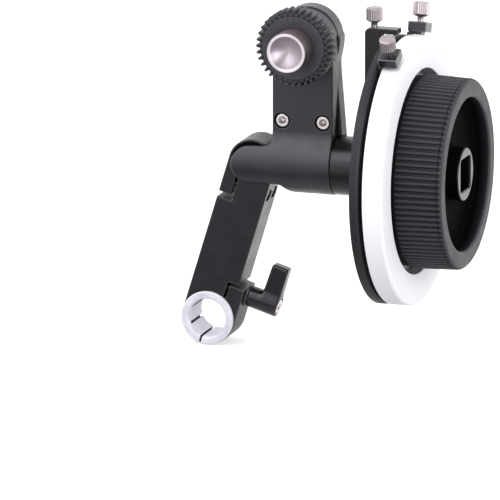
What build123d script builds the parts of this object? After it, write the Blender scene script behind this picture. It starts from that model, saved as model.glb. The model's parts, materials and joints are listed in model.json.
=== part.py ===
"""Follow focus unit: hand wheel, right-angle drive in an upright gear head, swing arm with a rod clamp.

The origin is the centre of the rod bore, half way through the arm. X runs along the hand wheel's axis
towards the wheel, Y runs along the rod away from the drive gear, and Z is up. Millimetres.
"""
import os
from math import cos, pi, radians, sin, sqrt, tan

from build123d import *

# Fits
seat_gap = 0.02        # a turned piece in its seat, both on the same body
running_gap = 0.05     # radial gap of a turning pin in its hole
free_gap = 0.3         # between pieces that pass each other

# Rod clamp and swing arm. "Along" is measured up the arm and "across" to its right.
rod_radius = 7.5
bushing_radius = 9.5
bushing_flange_radius = 10.6
bushing_flange_thickness = 1.6
bushing_cuts = 7
bushing_cut_width = 0.9
bushing_cut_depth = 1.1
arm_tilt = 17.0
arm_thickness = 15.0
arm_left = 10.8
arm_right = 8.1
arm_reach = 65.3
arm_edge_chamfer = 0.5
jaw_right = 10.8
jaw_height = 15.3
jaw_slit_across = 4.0
slit_width = 1.3
notch_across = 5.5
notch_height = 2.3
pivot_slit_across = 5.2
pivot_slit_width = 1.0
pivot_radius = 5.0
pinch_wall = 4.0               # between the pivot's bore and a pinch screw's head
pinch_spread = 3.3
pinch_head_radius = 2.1
pinch_head_length = 2.5
pinch_shank_radius = 1.25
pinch_shank_length = 11.0
pinch_sunk = 0.6
pinch_along = arm_reach - pivot_radius - pinch_wall - pinch_head_radius
pinch_to_notch = 5.2
notch_along = pinch_along - pinch_to_notch

# Ratchet lever of the rod clamp
lever_along = 12.0
lever_hub_radius = 4.2
lever_hub_length = 12.6
lever_washer_radius = 4.6
lever_washer_thickness = 0.9
lever_stud_radius = 2.0
lever_stud_depth = 13.4
lever_insert_radius = 3.1
lever_insert_length = 2.6
lever_spring_wire = 0.45
lever_spring_turns = 4
lever_screw_radius = 2.9
lever_screw_head = 1.4
lever_screw_shank_radius = 1.0
lever_screw_shank_length = 4.0
lever_wall = 1.0
lever_travel = 3.0
handle_width = 7.4
handle_thickness = 6.0
handle_reach = 16.2

# Pivot and barrel of the body
pin_reach = 10.2               # into the front ear
pin_sunk = 0.4
pin_socket_radius = 2.4
pin_socket_depth = 3.0
nose_half_height = 7.4
barrel_radius = 11.7
barrel_bore_radius = 9.9
barrel_bore_start = 3.0        # short of the head's middle line
barrel_length = 32.8           # pivot to the barrel's end
neck_start = 10.8              # pivot to where the nose starts to widen
neck_end = 16.8
ear_gap = 0.3
swing_gap = 0.35               # round the arm's end
swing_down = 25.0              # how far the head can drop towards the arm
swing_up = 90.0

# Gear head
head_across = 20.6             # pivot to the head's middle line
head_half_width = 12.2
head_rise = 49.4               # wheel axis to drive gear axis
head_front = 7.2
head_back = 7.4
head_corner = 2.5
head_foot_fillet = 4.0         # between the head's front and the barrel
cover_radius = 12.4
cover_lift = 0.5               # its round top above the drive gear axis
cover_waist = 11.6
cover_foot = 14.1
cover_waist_rise = 38.0
cover_foot_rise = 8.0
cover_screw_rise = 17.8
cover_screw_spread = 8.25
cover_screw_head_radius = 2.5
cover_screw_head_length = 2.6
cover_screw_shank_radius = 1.3
cover_screw_shank_length = 8.6
cover_screw_sunk = 0.3
front_boss_radius = 8.5
front_boss_face = 9.9

# Mitre gears, shafts and bearings
mitre_teeth = 14
mitre_module = 0.65
mitre_addendum = 0.40
mitre_dedendum = 0.65
mitre_backlash = 0.26
mitre_face = 0.55              # inner end of a tooth as a share of its outer end
mitre_back = 6.4               # apex to the back of the hub
mitre_hub_radius = 3.4
small_shaft_radius = 2.0
small_bearing_radius = 4.5
small_bearing_width = 3.0
small_bearing_lip = 3.4
gear_room = 5.5                # radius of the space that a mitre gear turns in
lower_bearing_rise = 7.0
upper_bearing_drop = 10.4
tail_bearing_radius = 3.2
tail_bearing_start = 4.3
tail_bearing_width = 1.8
wheel_shaft_radius = 4.0
wheel_bearing_radius = 8.0
wheel_bearing_width = 5.0
wheel_bearing_lip = 6.0
wheel_bearing_start = 0.8

# Drive gear and its thumb nut
gear_teeth = 36
gear_module = 0.8
gear_rim_width = 7.9
gear_face_radius = 12.4
gear_face_step = 0.6
gear_flange_radius = 6.5
gear_flange_thickness = 0.8
gear_gap = 0.2                 # boss to the gear's flange
gear_neck_radius = 2.7
gear_neck_room = 3.0
gear_spindle_radius = 3.0
gear_thread_radius = 2.5
gear_thread_length = 3.4
nut_radius = 7.9
nut_length = 8.8
nut_cone_radius = 6.9
nut_cone_depth = 4.4
nut_flutes = 72
nut_flute_depth = 0.18

# Collar, index plate and marking disc
collar_radius = 11.5
collar_length = 20.7
collar_spigot = 4.0
disc_radius = 52.3
index_plate_radius = disc_radius
index_plate_thickness = 3.4
index_plate_chamfer = 0.8
index_plate_bore = 7.0
plate_screw_ring = 9.75
plate_screw_radius = 1.0
plate_screw_head = 1.7
plate_screw_head_length = 1.2
plate_screw_depth = 6.0
disc_gap = 1.8                 # index plate to marking disc
disc_band = 12.3               # rim to bore
disc_bore_radius = disc_radius - disc_band
disc_set_back = 0.4            # carrier and hand wheel to the disc's faces
disc_thickness = 8.0
disc_edge = 1.2
disc_groove_inset = 2.3
disc_groove_width = 2.8
disc_groove_outer = disc_radius - disc_groove_inset
disc_groove_inner = disc_groove_outer - disc_groove_width
disc_groove_depth = 1.5

# Hand wheel
wheel_length = 18.5
wheel_rear_radius = disc_bore_radius - 2.3
wheel_front_radius = wheel_rear_radius - 0.6
wheel_neck_radius = wheel_rear_radius - 0.7
wheel_corner = 1.4             # outer corner of the rim
wheel_grooves = 100
wheel_groove_depth = 0.55
rim_width = 7.6                # across the rim's front, to the dish's wall
dish_radius = wheel_front_radius - rim_width
dish_corner = 3.2              # roll of the rim into the dish
dish_depth = 6.4
dish_fillet = 2.0              # dish wall to dish floor
wheel_wall = 3.4
hub_radius = 10.4
hub_set_back = 1.0             # hub's face behind the wheel's front
socket_size = 12.7
socket_depth = 9.8
hub_screw_head_radius = 3.4
hub_screw_head_length = 3.2
hub_screw_radius = 1.9
hub_screw_sunk = 0.4
hub_screw_hold = 6.0           # thread that is in the shaft
shaft_short = 15.0             # the shaft's tip is this far inside the hub's front
carrier_lap = 4.2              # carrier plate over the marking disc's bore
carrier_radius = disc_bore_radius + carrier_lap
carrier_thickness = 2.4
carrier_screw_ring = wheel_neck_radius - 2.0
carrier_screw_count = 6
magnet_ring = carrier_radius - 2.0
magnet_radius = 1.5
magnet_length = 1.8
magnet_count = 6
slug_length = 1.5              # steel slugs in the marking disc, opposite the magnets
shaft_flange_radius = 8.5
shaft_flange_thickness = 1.5

# Index bracket, markers and their thumb screws
bracket_width = 6.4
bracket_depth = 5.4
bracket_middle = 14.7          # barrel end to the middle of the post
bracket_ring_radius = 14.6
bracket_corner = 2.4
bracket_slit = 1.2
bracket_block_width = 10.0
bracket_block_drop = 2.6       # pinch block below the ring
rim_clearance = 1.4            # finger and marker blocks over the disc's rim
finger_underside = disc_radius + rim_clearance
finger_thickness = 2.1
marker_front_angle = 27.0
marker_rear_angle = -14.4
marker_width = 7.8
marker_length = 7.5
marker_height = 3.9
marker_underside = disc_radius + rim_clearance
marker_top = marker_underside + marker_height
marker_foot_width = 5.0
marker_foot_length = 4.2
marker_tongue = 1.1
marker_toe_gap = 0.3           # toe to the walls of the disc's groove
marker_toe_inner = disc_groove_inner + marker_toe_gap
marker_toe_outer = disc_groove_outer - marker_toe_gap
marker_toe_reach = 1.5
thumb_head_radius = 3.2
thumb_head_length = 5.9
thumb_neck_length = 2.0
thumb_shank_radius = 1.45
thumb_flutes = 16

# Places worked out from the sizes above
tilt = radians(arm_tilt)
across = Vector(cos(tilt), 0, -sin(tilt))
along = Vector(sin(tilt), 0, cos(tilt))
x_way = Vector(1, 0, 0)
y_way = Vector(0, 1, 0)
z_way = Vector(0, 0, 1)
arm_plane = Plane(origin=(0, 0, 0), x_dir=across, z_dir=(0, -1, 0))
arm_half = arm_thickness / 2
bar_middle = (arm_right - arm_left) / 2
bar_half = (arm_right + arm_left) / 2
pivot = across * bar_middle + along * arm_reach
wheel_z = pivot.Z
gear_z = wheel_z + head_rise
head_x = pivot.X + head_across
barrel_end = pivot.X + barrel_length
collar_end = barrel_end + collar_length
index_front = collar_end + index_plate_thickness
disc_rear = index_front + disc_gap
disc_front = disc_rear + disc_thickness
carrier_rear = disc_rear + disc_set_back
carrier_front = carrier_rear + carrier_thickness
wheel_rear = disc_front + disc_set_back
wheel_front = wheel_rear + wheel_length
dish_floor = wheel_front - dish_depth
hub_front = wheel_front - hub_set_back
socket_floor = hub_front - socket_depth
ear_inner = arm_half + ear_gap
side_plane = Plane(origin=(0, 0, wheel_z), x_dir=(1, 0, 0), z_dir=(0, -1, 0))
gear_rear = -(front_boss_face + gear_gap + gear_flange_thickness)
gear_front = gear_rear - gear_rim_width - gear_face_step


def side_of(direction):
    """A direction square to the given one, used as the normal of a turning profile."""
    return Vector(0, -1, 0) if abs(direction.X) > 0.1 else Vector(1, 0, 0)


def turn(profile, start, direction, mode=Mode.ADD):
    """Revolve a profile of (distance along, radius) points about the axis through start."""
    with BuildSketch(Plane(origin=start, x_dir=direction, z_dir=side_of(direction))) as section:
        with BuildLine():
            Polyline(*profile, close=True)
        make_face()
    revolve(section.sketch, axis=Axis(start, direction), mode=mode)


def rod(start, direction, radius, length, mode=Mode.ADD):
    """A plain cylinder from start."""
    with BuildSketch(Plane(origin=start, x_dir=side_of(direction), z_dir=direction)) as section:
        Circle(radius)
    extrude(section.sketch, amount=length, mode=mode)


def cap_screw(start, direction, head_radius, head_length, shank_radius, shank_length):
    """A socket head screw: start is the middle of the head's face, direction points into the work."""
    end = head_length + shank_length
    turn(
        [
            (0, 0),
            (0, head_radius),
            (head_length, head_radius),
            (head_length, shank_radius),
            (end, shank_radius),
            (end, 0),
        ],
        start,
        direction,
    )
    with BuildSketch(Plane(origin=start, x_dir=side_of(direction), z_dir=direction)) as socket:
        RegularPolygon(head_radius * 0.5, 6)
    extrude(socket.sketch, amount=head_length * 0.6, mode=Mode.SUBTRACT)


def screw_hole(start, direction, head_radius, head_length, shank_radius, shank_length, sunk=0.0):
    """The counterbored hole for a cap screw whose head's face lies sunk below the surface."""
    outside = start - direction * (sunk + 5)
    floor = sunk + 5 + head_length
    end = floor + shank_length + 0.3
    head = head_radius + 0.35
    shank = shank_radius + seat_gap
    profile = [(0, 0), (0, head), (floor, head), (floor, shank), (end, shank), (end, 0)]
    turn(profile, outside, direction, Mode.SUBTRACT)


def thumb_screw(start, direction, depth):
    """A fluted thumb screw: start is where it leaves its block, direction points out along its head."""
    neck = thumb_shank_radius
    turn([(-depth, 0), (-depth, neck), (thumb_neck_length, neck), (thumb_neck_length, 0)], start, direction)
    head_start = start + direction * thumb_neck_length
    with BuildSketch(Plane(origin=head_start, x_dir=side_of(direction), z_dir=direction)) as head:
        Circle(thumb_head_radius)
        with PolarLocations(thumb_head_radius + 0.1, thumb_flutes):
            Circle(0.35, mode=Mode.SUBTRACT)
    extrude(head.sketch, amount=thumb_head_length)


def toward(angle):
    """The direction away from the wheel axis, angle degrees from straight up towards the drive gear."""
    return Vector(0, -sin(radians(angle)), cos(radians(angle)))


def ring_places(count, radius, start_angle=0.0):
    """Points of a ring about the wheel axis, as offsets in Y and Z."""
    return [toward(start_angle + 360 * step / count) * radius for step in range(count)]


# Swing arm and rod clamp
with BuildPart() as swing_arm:
    with BuildSketch(arm_plane):
        Circle(arm_left)
        with BuildLine():
            Polyline(
                (-arm_left, 0),
                (-arm_left, arm_reach),
                (arm_right, arm_reach),
                (arm_right, 0),
                close=True,
            )
        make_face()
        with BuildLine():
            Polyline((0, 0), (0, jaw_height), (jaw_right, jaw_height), (jaw_right, 0), close=True)
        make_face()
        with Locations((bar_middle, arm_reach)):
            Circle(bar_half)
    extrude(amount=arm_half, both=True)
    chamfer(swing_arm.faces().filter_by(Axis.Y).edges(), arm_edge_chamfer)
    rod(y_way * -arm_half, y_way, bushing_radius, arm_thickness, Mode.SUBTRACT)
    rod(pivot - y_way * arm_half, y_way, pivot_radius + running_gap, arm_thickness, Mode.SUBTRACT)
    with BuildSketch(arm_plane):
        slit_right = jaw_slit_across + slit_width / 2
        slit_left = jaw_slit_across - slit_width / 2
        with BuildLine():
            Polyline(
                (slit_left, 0),
                (slit_left, jaw_height + slit_width),
                (jaw_right + 1, jaw_height + slit_width),
                (jaw_right + 1, jaw_height),
                (slit_right, jaw_height),
                (slit_right, 0),
                close=True,
            )
        make_face()
        with BuildLine():
            Polyline(
                (-arm_left - 1, notch_along - notch_height / 2),
                (-notch_across, notch_along - notch_height / 2),
                (-notch_across, notch_along + notch_height / 2),
                (-arm_left - 1, notch_along + notch_height / 2),
                close=True,
            )
        make_face()
        with Locations((-notch_across, notch_along)):
            Circle(notch_height / 2)
        with Locations((-pivot_slit_across, (notch_along + arm_reach) / 2)):
            Rectangle(pivot_slit_width, arm_reach - notch_along)
    extrude(amount=arm_half + 1, both=True, mode=Mode.SUBTRACT)
    pinch_foot = across * (arm_right - pinch_sunk) + along * pinch_along
    for sign in (-1, 1):
        screw_hole(
            pinch_foot + y_way * (sign * pinch_spread),
            across * -1,
            pinch_head_radius,
            pinch_head_length,
            pinch_shank_radius,
            pinch_shank_length,
            pinch_sunk,
        )
    stud_seat = across * jaw_right + along * lever_along
    turn(
        [
            (-1, 0),
            (-1, lever_stud_radius + free_gap),
            (jaw_right - jaw_slit_across, lever_stud_radius + free_gap),
            (jaw_right - jaw_slit_across, lever_stud_radius + running_gap),
            (lever_stud_depth + free_gap, lever_stud_radius + running_gap),
            (lever_stud_depth + free_gap, 0),
        ],
        stud_seat,
        across * -1,
        Mode.SUBTRACT,
    )

with BuildPart() as rod_bushing:
    turn(
        [
            (-bushing_flange_thickness, rod_radius + 0.5),
            (-bushing_flange_thickness, bushing_flange_radius - 0.3),
            (0.3 - bushing_flange_thickness, bushing_flange_radius),
            (0, bushing_flange_radius),
            (0, bushing_radius),
            (arm_thickness, bushing_radius),
            (arm_thickness, rod_radius),
            (0.5 - bushing_flange_thickness, rod_radius),
        ],
        y_way * -arm_half,
        y_way,
    )
    with BuildSketch(arm_plane):
        with PolarLocations(rod_radius, bushing_cuts, start_angle=270):
            Rectangle(2 * bushing_cut_depth, bushing_cut_width)
        with Locations((0, -bushing_flange_radius)):
            Rectangle(bushing_cut_width, bushing_flange_radius)
    extrude(amount=arm_thickness, both=True, mode=Mode.SUBTRACT)

with BuildPart() as pinch_screws:
    for sign in (-1, 1):
        cap_screw(
            pinch_foot + y_way * (sign * pinch_spread),
            across * -1,
            pinch_head_radius,
            pinch_head_length,
            pinch_shank_radius,
            pinch_shank_length,
        )

# Ratchet lever: the stud, its insert, spring and screw turn together, and the handle slides out on them
lever_start = stud_seat + across * lever_washer_thickness
wall_start = lever_insert_length + 0.1
spring_start = wall_start + lever_wall + lever_travel + 0.1
screw_face = lever_start + across * lever_hub_length
lever_room = lever_insert_radius + running_gap

with BuildPart() as lever_washer:
    turn(
        [
            (0, lever_stud_radius + running_gap),
            (0, lever_washer_radius),
            (lever_washer_thickness, lever_washer_radius),
            (lever_washer_thickness, lever_stud_radius + running_gap),
        ],
        stud_seat,
        across,
    )

with BuildPart() as lever_stud:
    stud_end = lever_washer_thickness + lever_hub_length - lever_screw_head
    stud_hole = stud_end - lever_screw_shank_length - 0.3
    turn(
        [
            (-lever_stud_depth, 0),
            (-lever_stud_depth, lever_stud_radius),
            (stud_end, lever_stud_radius),
            (stud_end, lever_screw_shank_radius + seat_gap),
            (stud_hole, lever_screw_shank_radius + seat_gap),
            (stud_hole, 0),
        ],
        stud_seat,
        across,
    )

with BuildPart() as lever_insert:
    with BuildSketch(Plane(origin=lever_start, x_dir=y_way, z_dir=across)):
        Circle(lever_insert_radius)
        with PolarLocations(lever_insert_radius, 12):
            Circle(0.25, mode=Mode.SUBTRACT)
        Circle(lever_stud_radius, mode=Mode.SUBTRACT)
    extrude(amount=lever_insert_length)

with BuildPart() as lever_spring:
    # drawn squeezed, as it is when the handle is pulled out
    spring_pitch = (lever_hub_length - lever_screw_head - spring_start) / lever_spring_turns
    for step in range(lever_spring_turns):
        coil = spring_start + (step + 0.5) * spring_pitch
        turn(
            [
                (coil - lever_spring_wire, lever_stud_radius + seat_gap),
                (coil - lever_spring_wire, lever_insert_radius - 0.1),
                (coil + lever_spring_wire, lever_insert_radius - 0.1),
                (coil + lever_spring_wire, lever_stud_radius + seat_gap),
            ],
            lever_start,
            across,
        )

with BuildPart() as lever_screw:
    cap_screw(
        screw_face,
        across * -1,
        lever_screw_radius,
        lever_screw_head,
        lever_screw_shank_radius,
        lever_screw_shank_length,
    )

with BuildPart() as lever_handle:
    turn(
        [
            (0, 0),
            (0, lever_hub_radius),
            (lever_hub_length, lever_hub_radius),
            (lever_hub_length, 0),
        ],
        lever_start,
        across,
    )
    handle_plane = Plane(origin=lever_start, x_dir=across, z_dir=(0, -1, 0))
    with BuildSketch(handle_plane):
        handle_left = lever_hub_length - handle_width
        with BuildLine():
            Polyline(
                (handle_left - 2.0, 0),
                (handle_left - 2.0, lever_hub_radius - 0.8),
                (handle_left, lever_hub_radius + 1.6),
                (handle_left, handle_reach),
                (lever_hub_length, handle_reach),
                (lever_hub_length, 0),
                close=True,
            )
        make_face()
    extrude(amount=handle_thickness / 2, both=True)
    fillet(lever_handle.faces().sort_by(Axis(lever_start, along))[-1].edges(), 1.2)
    turn(
        [
            (-1, 0),
            (-1, lever_room),
            (wall_start, lever_room),
            (wall_start, lever_stud_radius + free_gap),
            (wall_start + lever_wall, lever_stud_radius + free_gap),
            (wall_start + lever_wall, lever_room),
            (lever_hub_length + 1, lever_room),
            (lever_hub_length + 1, 0),
        ],
        lever_start,
        across,
        Mode.SUBTRACT,
    )

# Body: barrel, nose with its two ears, and the front half of the gear head
nose_end = pivot.X - nose_half_height
head_left = head_x - head_half_width
fillet_out = head_front + head_foot_fillet
fillet_up = sqrt((barrel_radius + head_foot_fillet) ** 2 - fillet_out**2)
with BuildPart() as body_housing:
    # end view of the barrel and the plate that stands on it, carried along X
    with BuildSketch(Plane(origin=(nose_end, 0, wheel_z), x_dir=(0, 1, 0), z_dir=(1, 0, 0))):
        Circle(barrel_radius)
        with BuildLine():
            Polyline(
                (0, 0),
                (-fillet_out, fillet_up),
                (-head_front, fillet_up),
                (-head_front, head_rise + head_half_width),
                (0, head_rise + head_half_width),
                close=True,
            )
        make_face()
        with Locations((-fillet_out, fillet_up)):
            Circle(head_foot_fillet, mode=Mode.SUBTRACT)
    extrude(amount=barrel_end - nose_end)
    # cut to the side view
    with BuildSketch(side_plane):
        with Locations((pivot.X, 0)):
            Circle(nose_half_height)
        with BuildLine():
            low = (pivot.X + neck_start, -nose_half_height)
            high = (pivot.X + neck_end, -barrel_radius)
            Line((pivot.X, nose_half_height), (pivot.X, -nose_half_height))
            Line((pivot.X, -nose_half_height), low)
            Spline(low, high, tangents=((1, 0), (1, 0)))
            Line(high, (barrel_end, -barrel_radius))
            Line((barrel_end, -barrel_radius), (barrel_end, nose_half_height))
            Line((barrel_end, nose_half_height), (pivot.X, nose_half_height))
        make_face()
        with Locations((head_x, head_rise / 2)):
            Rectangle(2 * head_half_width, head_rise)
        with Locations((head_x, head_rise)):
            Circle(head_half_width)
        with Locations((head_left - head_corner / 2, nose_half_height + head_corner / 2)):
            Rectangle(head_corner, head_corner)
        with Locations((head_left - head_corner, nose_half_height + head_corner)):
            Circle(head_corner, mode=Mode.SUBTRACT)
    extrude(amount=barrel_radius + 1, both=True, mode=Mode.INTERSECT)
    front_boss = Vector(head_x, -head_front, gear_z)
    rod(front_boss, y_way * -1, front_boss_radius, front_boss_face - head_front)
    # room for the arm's end between the ears, over the whole swing
    with BuildSketch(side_plane):
        with Locations((pivot.X, 0)):
            Circle(bar_half + swing_gap)
        reach = 3 * barrel_radius
        low_angle = radians(-90 - arm_tilt + swing_down)
        high_angle = radians(-90 - arm_tilt - swing_up)
        clear = bar_half + swing_gap
        low_touch = Vector(pivot.X - clear * sin(low_angle), clear * cos(low_angle))
        low_far = low_touch + Vector(cos(low_angle), sin(low_angle)) * reach
        high_touch = Vector(pivot.X + clear * sin(high_angle), -clear * cos(high_angle))
        high_far = high_touch + Vector(cos(high_angle), sin(high_angle)) * reach
        with BuildLine():
            Polyline(
                (low_touch.X, low_touch.Y),
                (low_far.X, low_far.Y),
                (pivot.X - reach, low_far.Y),
                (pivot.X - reach, high_far.Y),
                (high_far.X, high_far.Y),
                (high_touch.X, high_touch.Y),
                (pivot.X, 0),
                close=True,
            )
        make_face()
    extrude(amount=ear_inner, both=True, mode=Mode.SUBTRACT)
    # hole for the pivot pin: right through the rear ear, blind in the front one
    rod(pivot - y_way * pin_reach, y_way, pivot_radius, 3 * barrel_radius, Mode.SUBTRACT)
    # room for the shafts
    bore_start = Vector(head_x - barrel_bore_start, 0, wheel_z)
    rod(bore_start, x_way, barrel_bore_radius, barrel_length, Mode.SUBTRACT)
    cover_screw_foot = Vector(head_x, cover_screw_sunk - head_front, wheel_z + cover_screw_rise)
    for sign in (-1, 1):
        screw_hole(
            cover_screw_foot + x_way * (sign * cover_screw_spread),
            y_way,
            cover_screw_head_radius + 0.25,
            cover_screw_head_length,
            cover_screw_shank_radius,
            cover_screw_shank_length,
            cover_screw_sunk,
        )
    shaft_bore = [
        (0, 0),
        (0, gear_room),
        (lower_bearing_rise, gear_room),
        (lower_bearing_rise, small_bearing_radius),
        (lower_bearing_rise + small_bearing_width, small_bearing_radius),
        (lower_bearing_rise + small_bearing_width, small_bearing_lip),
        (head_rise - upper_bearing_drop, small_bearing_lip),
        (head_rise - upper_bearing_drop, small_bearing_radius),
        (head_rise - upper_bearing_drop + small_bearing_width, small_bearing_radius),
        (head_rise - upper_bearing_drop + small_bearing_width, gear_room),
        (head_rise - small_shaft_radius, gear_room),
        (head_rise - small_shaft_radius, 0),
    ]
    shaft_foot = Vector(head_x, 0, wheel_z)
    turn(shaft_bore, shaft_foot, z_way, Mode.SUBTRACT)
    front_bearing = mitre_back
    gear_bore = [
        (-4, 0),
        (-4, gear_room),
        (front_bearing, gear_room),
        (front_bearing, small_bearing_radius),
        (front_bearing + small_bearing_width, small_bearing_radius),
        (front_bearing + small_bearing_width, gear_neck_room),
        (front_boss_face + 1, gear_neck_room),
        (front_boss_face + 1, 0),
    ]
    gear_centre = Vector(head_x, 0, gear_z)
    turn(gear_bore, gear_centre, y_way * -1, Mode.SUBTRACT)

with BuildPart() as rear_cover:
    with BuildSketch(side_plane):
        with Locations((head_x, head_rise + cover_lift)):
            Circle(cover_radius)
        with BuildLine():
            Polyline(
                (head_x - cover_foot, cover_foot_rise),
                (head_x - cover_waist, cover_waist_rise),
                (head_x - cover_waist, head_rise),
                (head_x + cover_waist, head_rise),
                (head_x + cover_waist, cover_waist_rise),
                (head_x + cover_foot, cover_foot_rise),
                close=True,
            )
        make_face()
    extrude(amount=-head_back)
    cover_side = Vector(head_x - 2 * cover_foot, 0, wheel_z)
    rod(cover_side, x_way, barrel_radius + seat_gap, 4 * cover_foot, Mode.SUBTRACT)
    turn(shaft_bore, shaft_foot, z_way, Mode.SUBTRACT)
    rod(gear_centre, y_way, small_bearing_lip, tail_bearing_start, Mode.SUBTRACT)
    rod(gear_centre, y_way, tail_bearing_radius, tail_bearing_start + tail_bearing_width, Mode.SUBTRACT)
    for sign in (-1, 1):
        screw_at = Vector(head_x + sign * cover_screw_spread, 0, wheel_z + cover_screw_rise)
        screw_tail = cover_screw_sunk + cover_screw_head_length + cover_screw_shank_length - head_front
        rod(screw_at, y_way, cover_screw_shank_radius + seat_gap, screw_tail + 0.3, Mode.SUBTRACT)

with BuildPart() as cover_screws:
    for sign in (-1, 1):
        cap_screw(
            cover_screw_foot + x_way * (sign * cover_screw_spread),
            y_way,
            cover_screw_head_radius,
            cover_screw_head_length,
            cover_screw_shank_radius,
            cover_screw_shank_length,
        )

with BuildPart() as pivot_pin:
    pin_end = sqrt(barrel_radius**2 - pivot_radius**2) - pin_sunk
    rod(pivot - y_way * pin_reach, y_way, pivot_radius, pin_reach + pin_end)
    with BuildSketch(Plane(origin=pivot + y_way * pin_end, x_dir=(1, 0, 0), z_dir=(0, 1, 0))):
        RegularPolygon(pin_socket_radius, 6)
    extrude(amount=-pin_socket_depth, mode=Mode.SUBTRACT)

# Collar with the wheel shaft's bearings
rear_bearing_x = barrel_end + wheel_bearing_start
front_bearing_x = collar_end - wheel_bearing_width
with BuildPart() as collar:
    turn(
        [
            (-collar_spigot, wheel_bearing_radius),
            (-collar_spigot, barrel_bore_radius - seat_gap),
            (0, barrel_bore_radius - seat_gap),
            (0, collar_radius),
            (collar_length, collar_radius),
            (collar_length, wheel_bearing_radius),
            (collar_length - wheel_bearing_width, wheel_bearing_radius),
            (collar_length - wheel_bearing_width, wheel_bearing_lip),
            (wheel_bearing_start + wheel_bearing_width, wheel_bearing_lip),
            (wheel_bearing_start + wheel_bearing_width, wheel_bearing_radius),
        ],
        Vector(barrel_end, 0, wheel_z),
        x_way,
    )
    for place in ring_places(4, plate_screw_ring, 45):
        rod(
            Vector(collar_end, 0, wheel_z) + place,
            x_way * -1,
            plate_screw_radius + seat_gap,
            plate_screw_depth + plate_screw_head_length - index_plate_thickness + 0.2,
            Mode.SUBTRACT,
        )

with BuildPart() as wheel_bearings:
    for bearing_x in (rear_bearing_x, front_bearing_x):
        turn(
            [
                (0, wheel_shaft_radius + running_gap),
                (0, wheel_bearing_radius),
                (wheel_bearing_width, wheel_bearing_radius),
                (wheel_bearing_width, wheel_shaft_radius + running_gap),
            ],
            Vector(bearing_x, 0, wheel_z),
            x_way,
        )

with BuildPart() as head_bearings:
    for rise in (lower_bearing_rise, head_rise - upper_bearing_drop):
        turn(
            [
                (0, small_shaft_radius + running_gap),
                (0, small_bearing_radius),
                (small_bearing_width, small_bearing_radius),
                (small_bearing_width, small_shaft_radius + running_gap),
            ],
            shaft_foot + z_way * rise,
            z_way,
        )

with BuildPart() as gear_bearings:
    for start, width, radius in (
        (-front_bearing - small_bearing_width, small_bearing_width, small_bearing_radius),
        (tail_bearing_start, tail_bearing_width, tail_bearing_radius),
    ):
        turn(
            [
                (0, small_shaft_radius + running_gap),
                (0, radius),
                (width, radius),
                (width, small_shaft_radius + running_gap),
            ],
            gear_centre + y_way * start,
            y_way,
        )

# Mitre gear, cut about the Z axis with its apex at the origin; placed four times below
pitch_reach = mitre_teeth * mitre_module / 2
half_root2 = sqrt(0.5)
tooth_half = pi * mitre_module / 4 - mitre_backlash / 4
with BuildPart() as mitre_tooth:
    for share in (1.0, mitre_face):
        middle = Vector(pitch_reach, 0, pitch_reach) * share
        with BuildSketch(Plane(origin=middle, x_dir=(0, -1, 0), z_dir=(1, 0, 1))):
            # x runs round the gear and y out of the pitch cone
            with BuildLine():
                tip = tooth_half - mitre_addendum * tan(radians(20))
                root = tooth_half + mitre_dedendum * tan(radians(20))
                Polyline(
                    (-root * share, -(mitre_dedendum + 0.2) * share),
                    (root * share, -(mitre_dedendum + 0.2) * share),
                    (root * share, -mitre_dedendum * share),
                    (tip * share, mitre_addendum * share),
                    (-tip * share, mitre_addendum * share),
                    (-root * share, -mitre_dedendum * share),
                    close=True,
                )
            make_face()
    loft(ruled=True)

with BuildPart() as mitre_gear:
    root_out = (pitch_reach + mitre_dedendum * half_root2, pitch_reach - mitre_dedendum * half_root2)
    turn(
        [
            (root_out[0] * mitre_face, small_shaft_radius),
            (root_out[0] * mitre_face, root_out[1] * mitre_face),
            root_out,
            (root_out[0] + 0.6, mitre_hub_radius),
            (mitre_back, mitre_hub_radius),
            (mitre_back, small_shaft_radius),
        ],
        Vector(0, 0, 0),
        z_way,
    )
    with PolarLocations(0, mitre_teeth):
        add(mitre_tooth.part)
    rod(Vector(0, 0, 0), z_way, small_shaft_radius, 2 * mitre_back, Mode.SUBTRACT)

half_tooth = pi / mitre_teeth
with BuildPart() as wheel_bevel:
    with Locations(Plane(origin=shaft_foot, x_dir=(0, 0, 1), z_dir=(1, 0, 0))):
        add(mitre_gear.part)

with BuildPart() as lower_bevel:
    with Locations(Plane(origin=shaft_foot, x_dir=(cos(half_tooth), sin(half_tooth), 0), z_dir=(0, 0, 1))):
        add(mitre_gear.part)

with BuildPart() as upper_bevel:
    with Locations(Plane(origin=gear_centre, x_dir=(0, -1, 0), z_dir=(0, 0, -1))):
        add(mitre_gear.part)

with BuildPart() as output_bevel:
    with Locations(Plane(origin=gear_centre, x_dir=(sin(half_tooth), 0, -cos(half_tooth)), z_dir=(0, -1, 0))):
        add(mitre_gear.part)

# Shafts
shaft_start = root_out[0] * mitre_face
with BuildPart() as wheel_shaft:
    shaft_end = hub_front - shaft_short - head_x
    flange_start = carrier_rear - shaft_flange_thickness - head_x
    turn(
        [
            (shaft_start, 0),
            (shaft_start, small_shaft_radius),
            (mitre_back + 0.2, small_shaft_radius),
            (mitre_back + 0.2, wheel_shaft_radius),
            (flange_start, wheel_shaft_radius),
            (flange_start, shaft_flange_radius),
            (carrier_rear - head_x, shaft_flange_radius),
            (carrier_rear - head_x, wheel_shaft_radius),
            (shaft_end, wheel_shaft_radius),
            (shaft_end, hub_screw_radius + seat_gap),
            (shaft_end - hub_screw_hold - 1, hub_screw_radius + seat_gap),
            (shaft_end - hub_screw_hold - 1, 0),
        ],
        shaft_foot,
        x_way,
    )

with BuildPart() as head_shaft:
    rod(shaft_foot + z_way * shaft_start, z_way, small_shaft_radius, head_rise - 2 * shaft_start)

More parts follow.
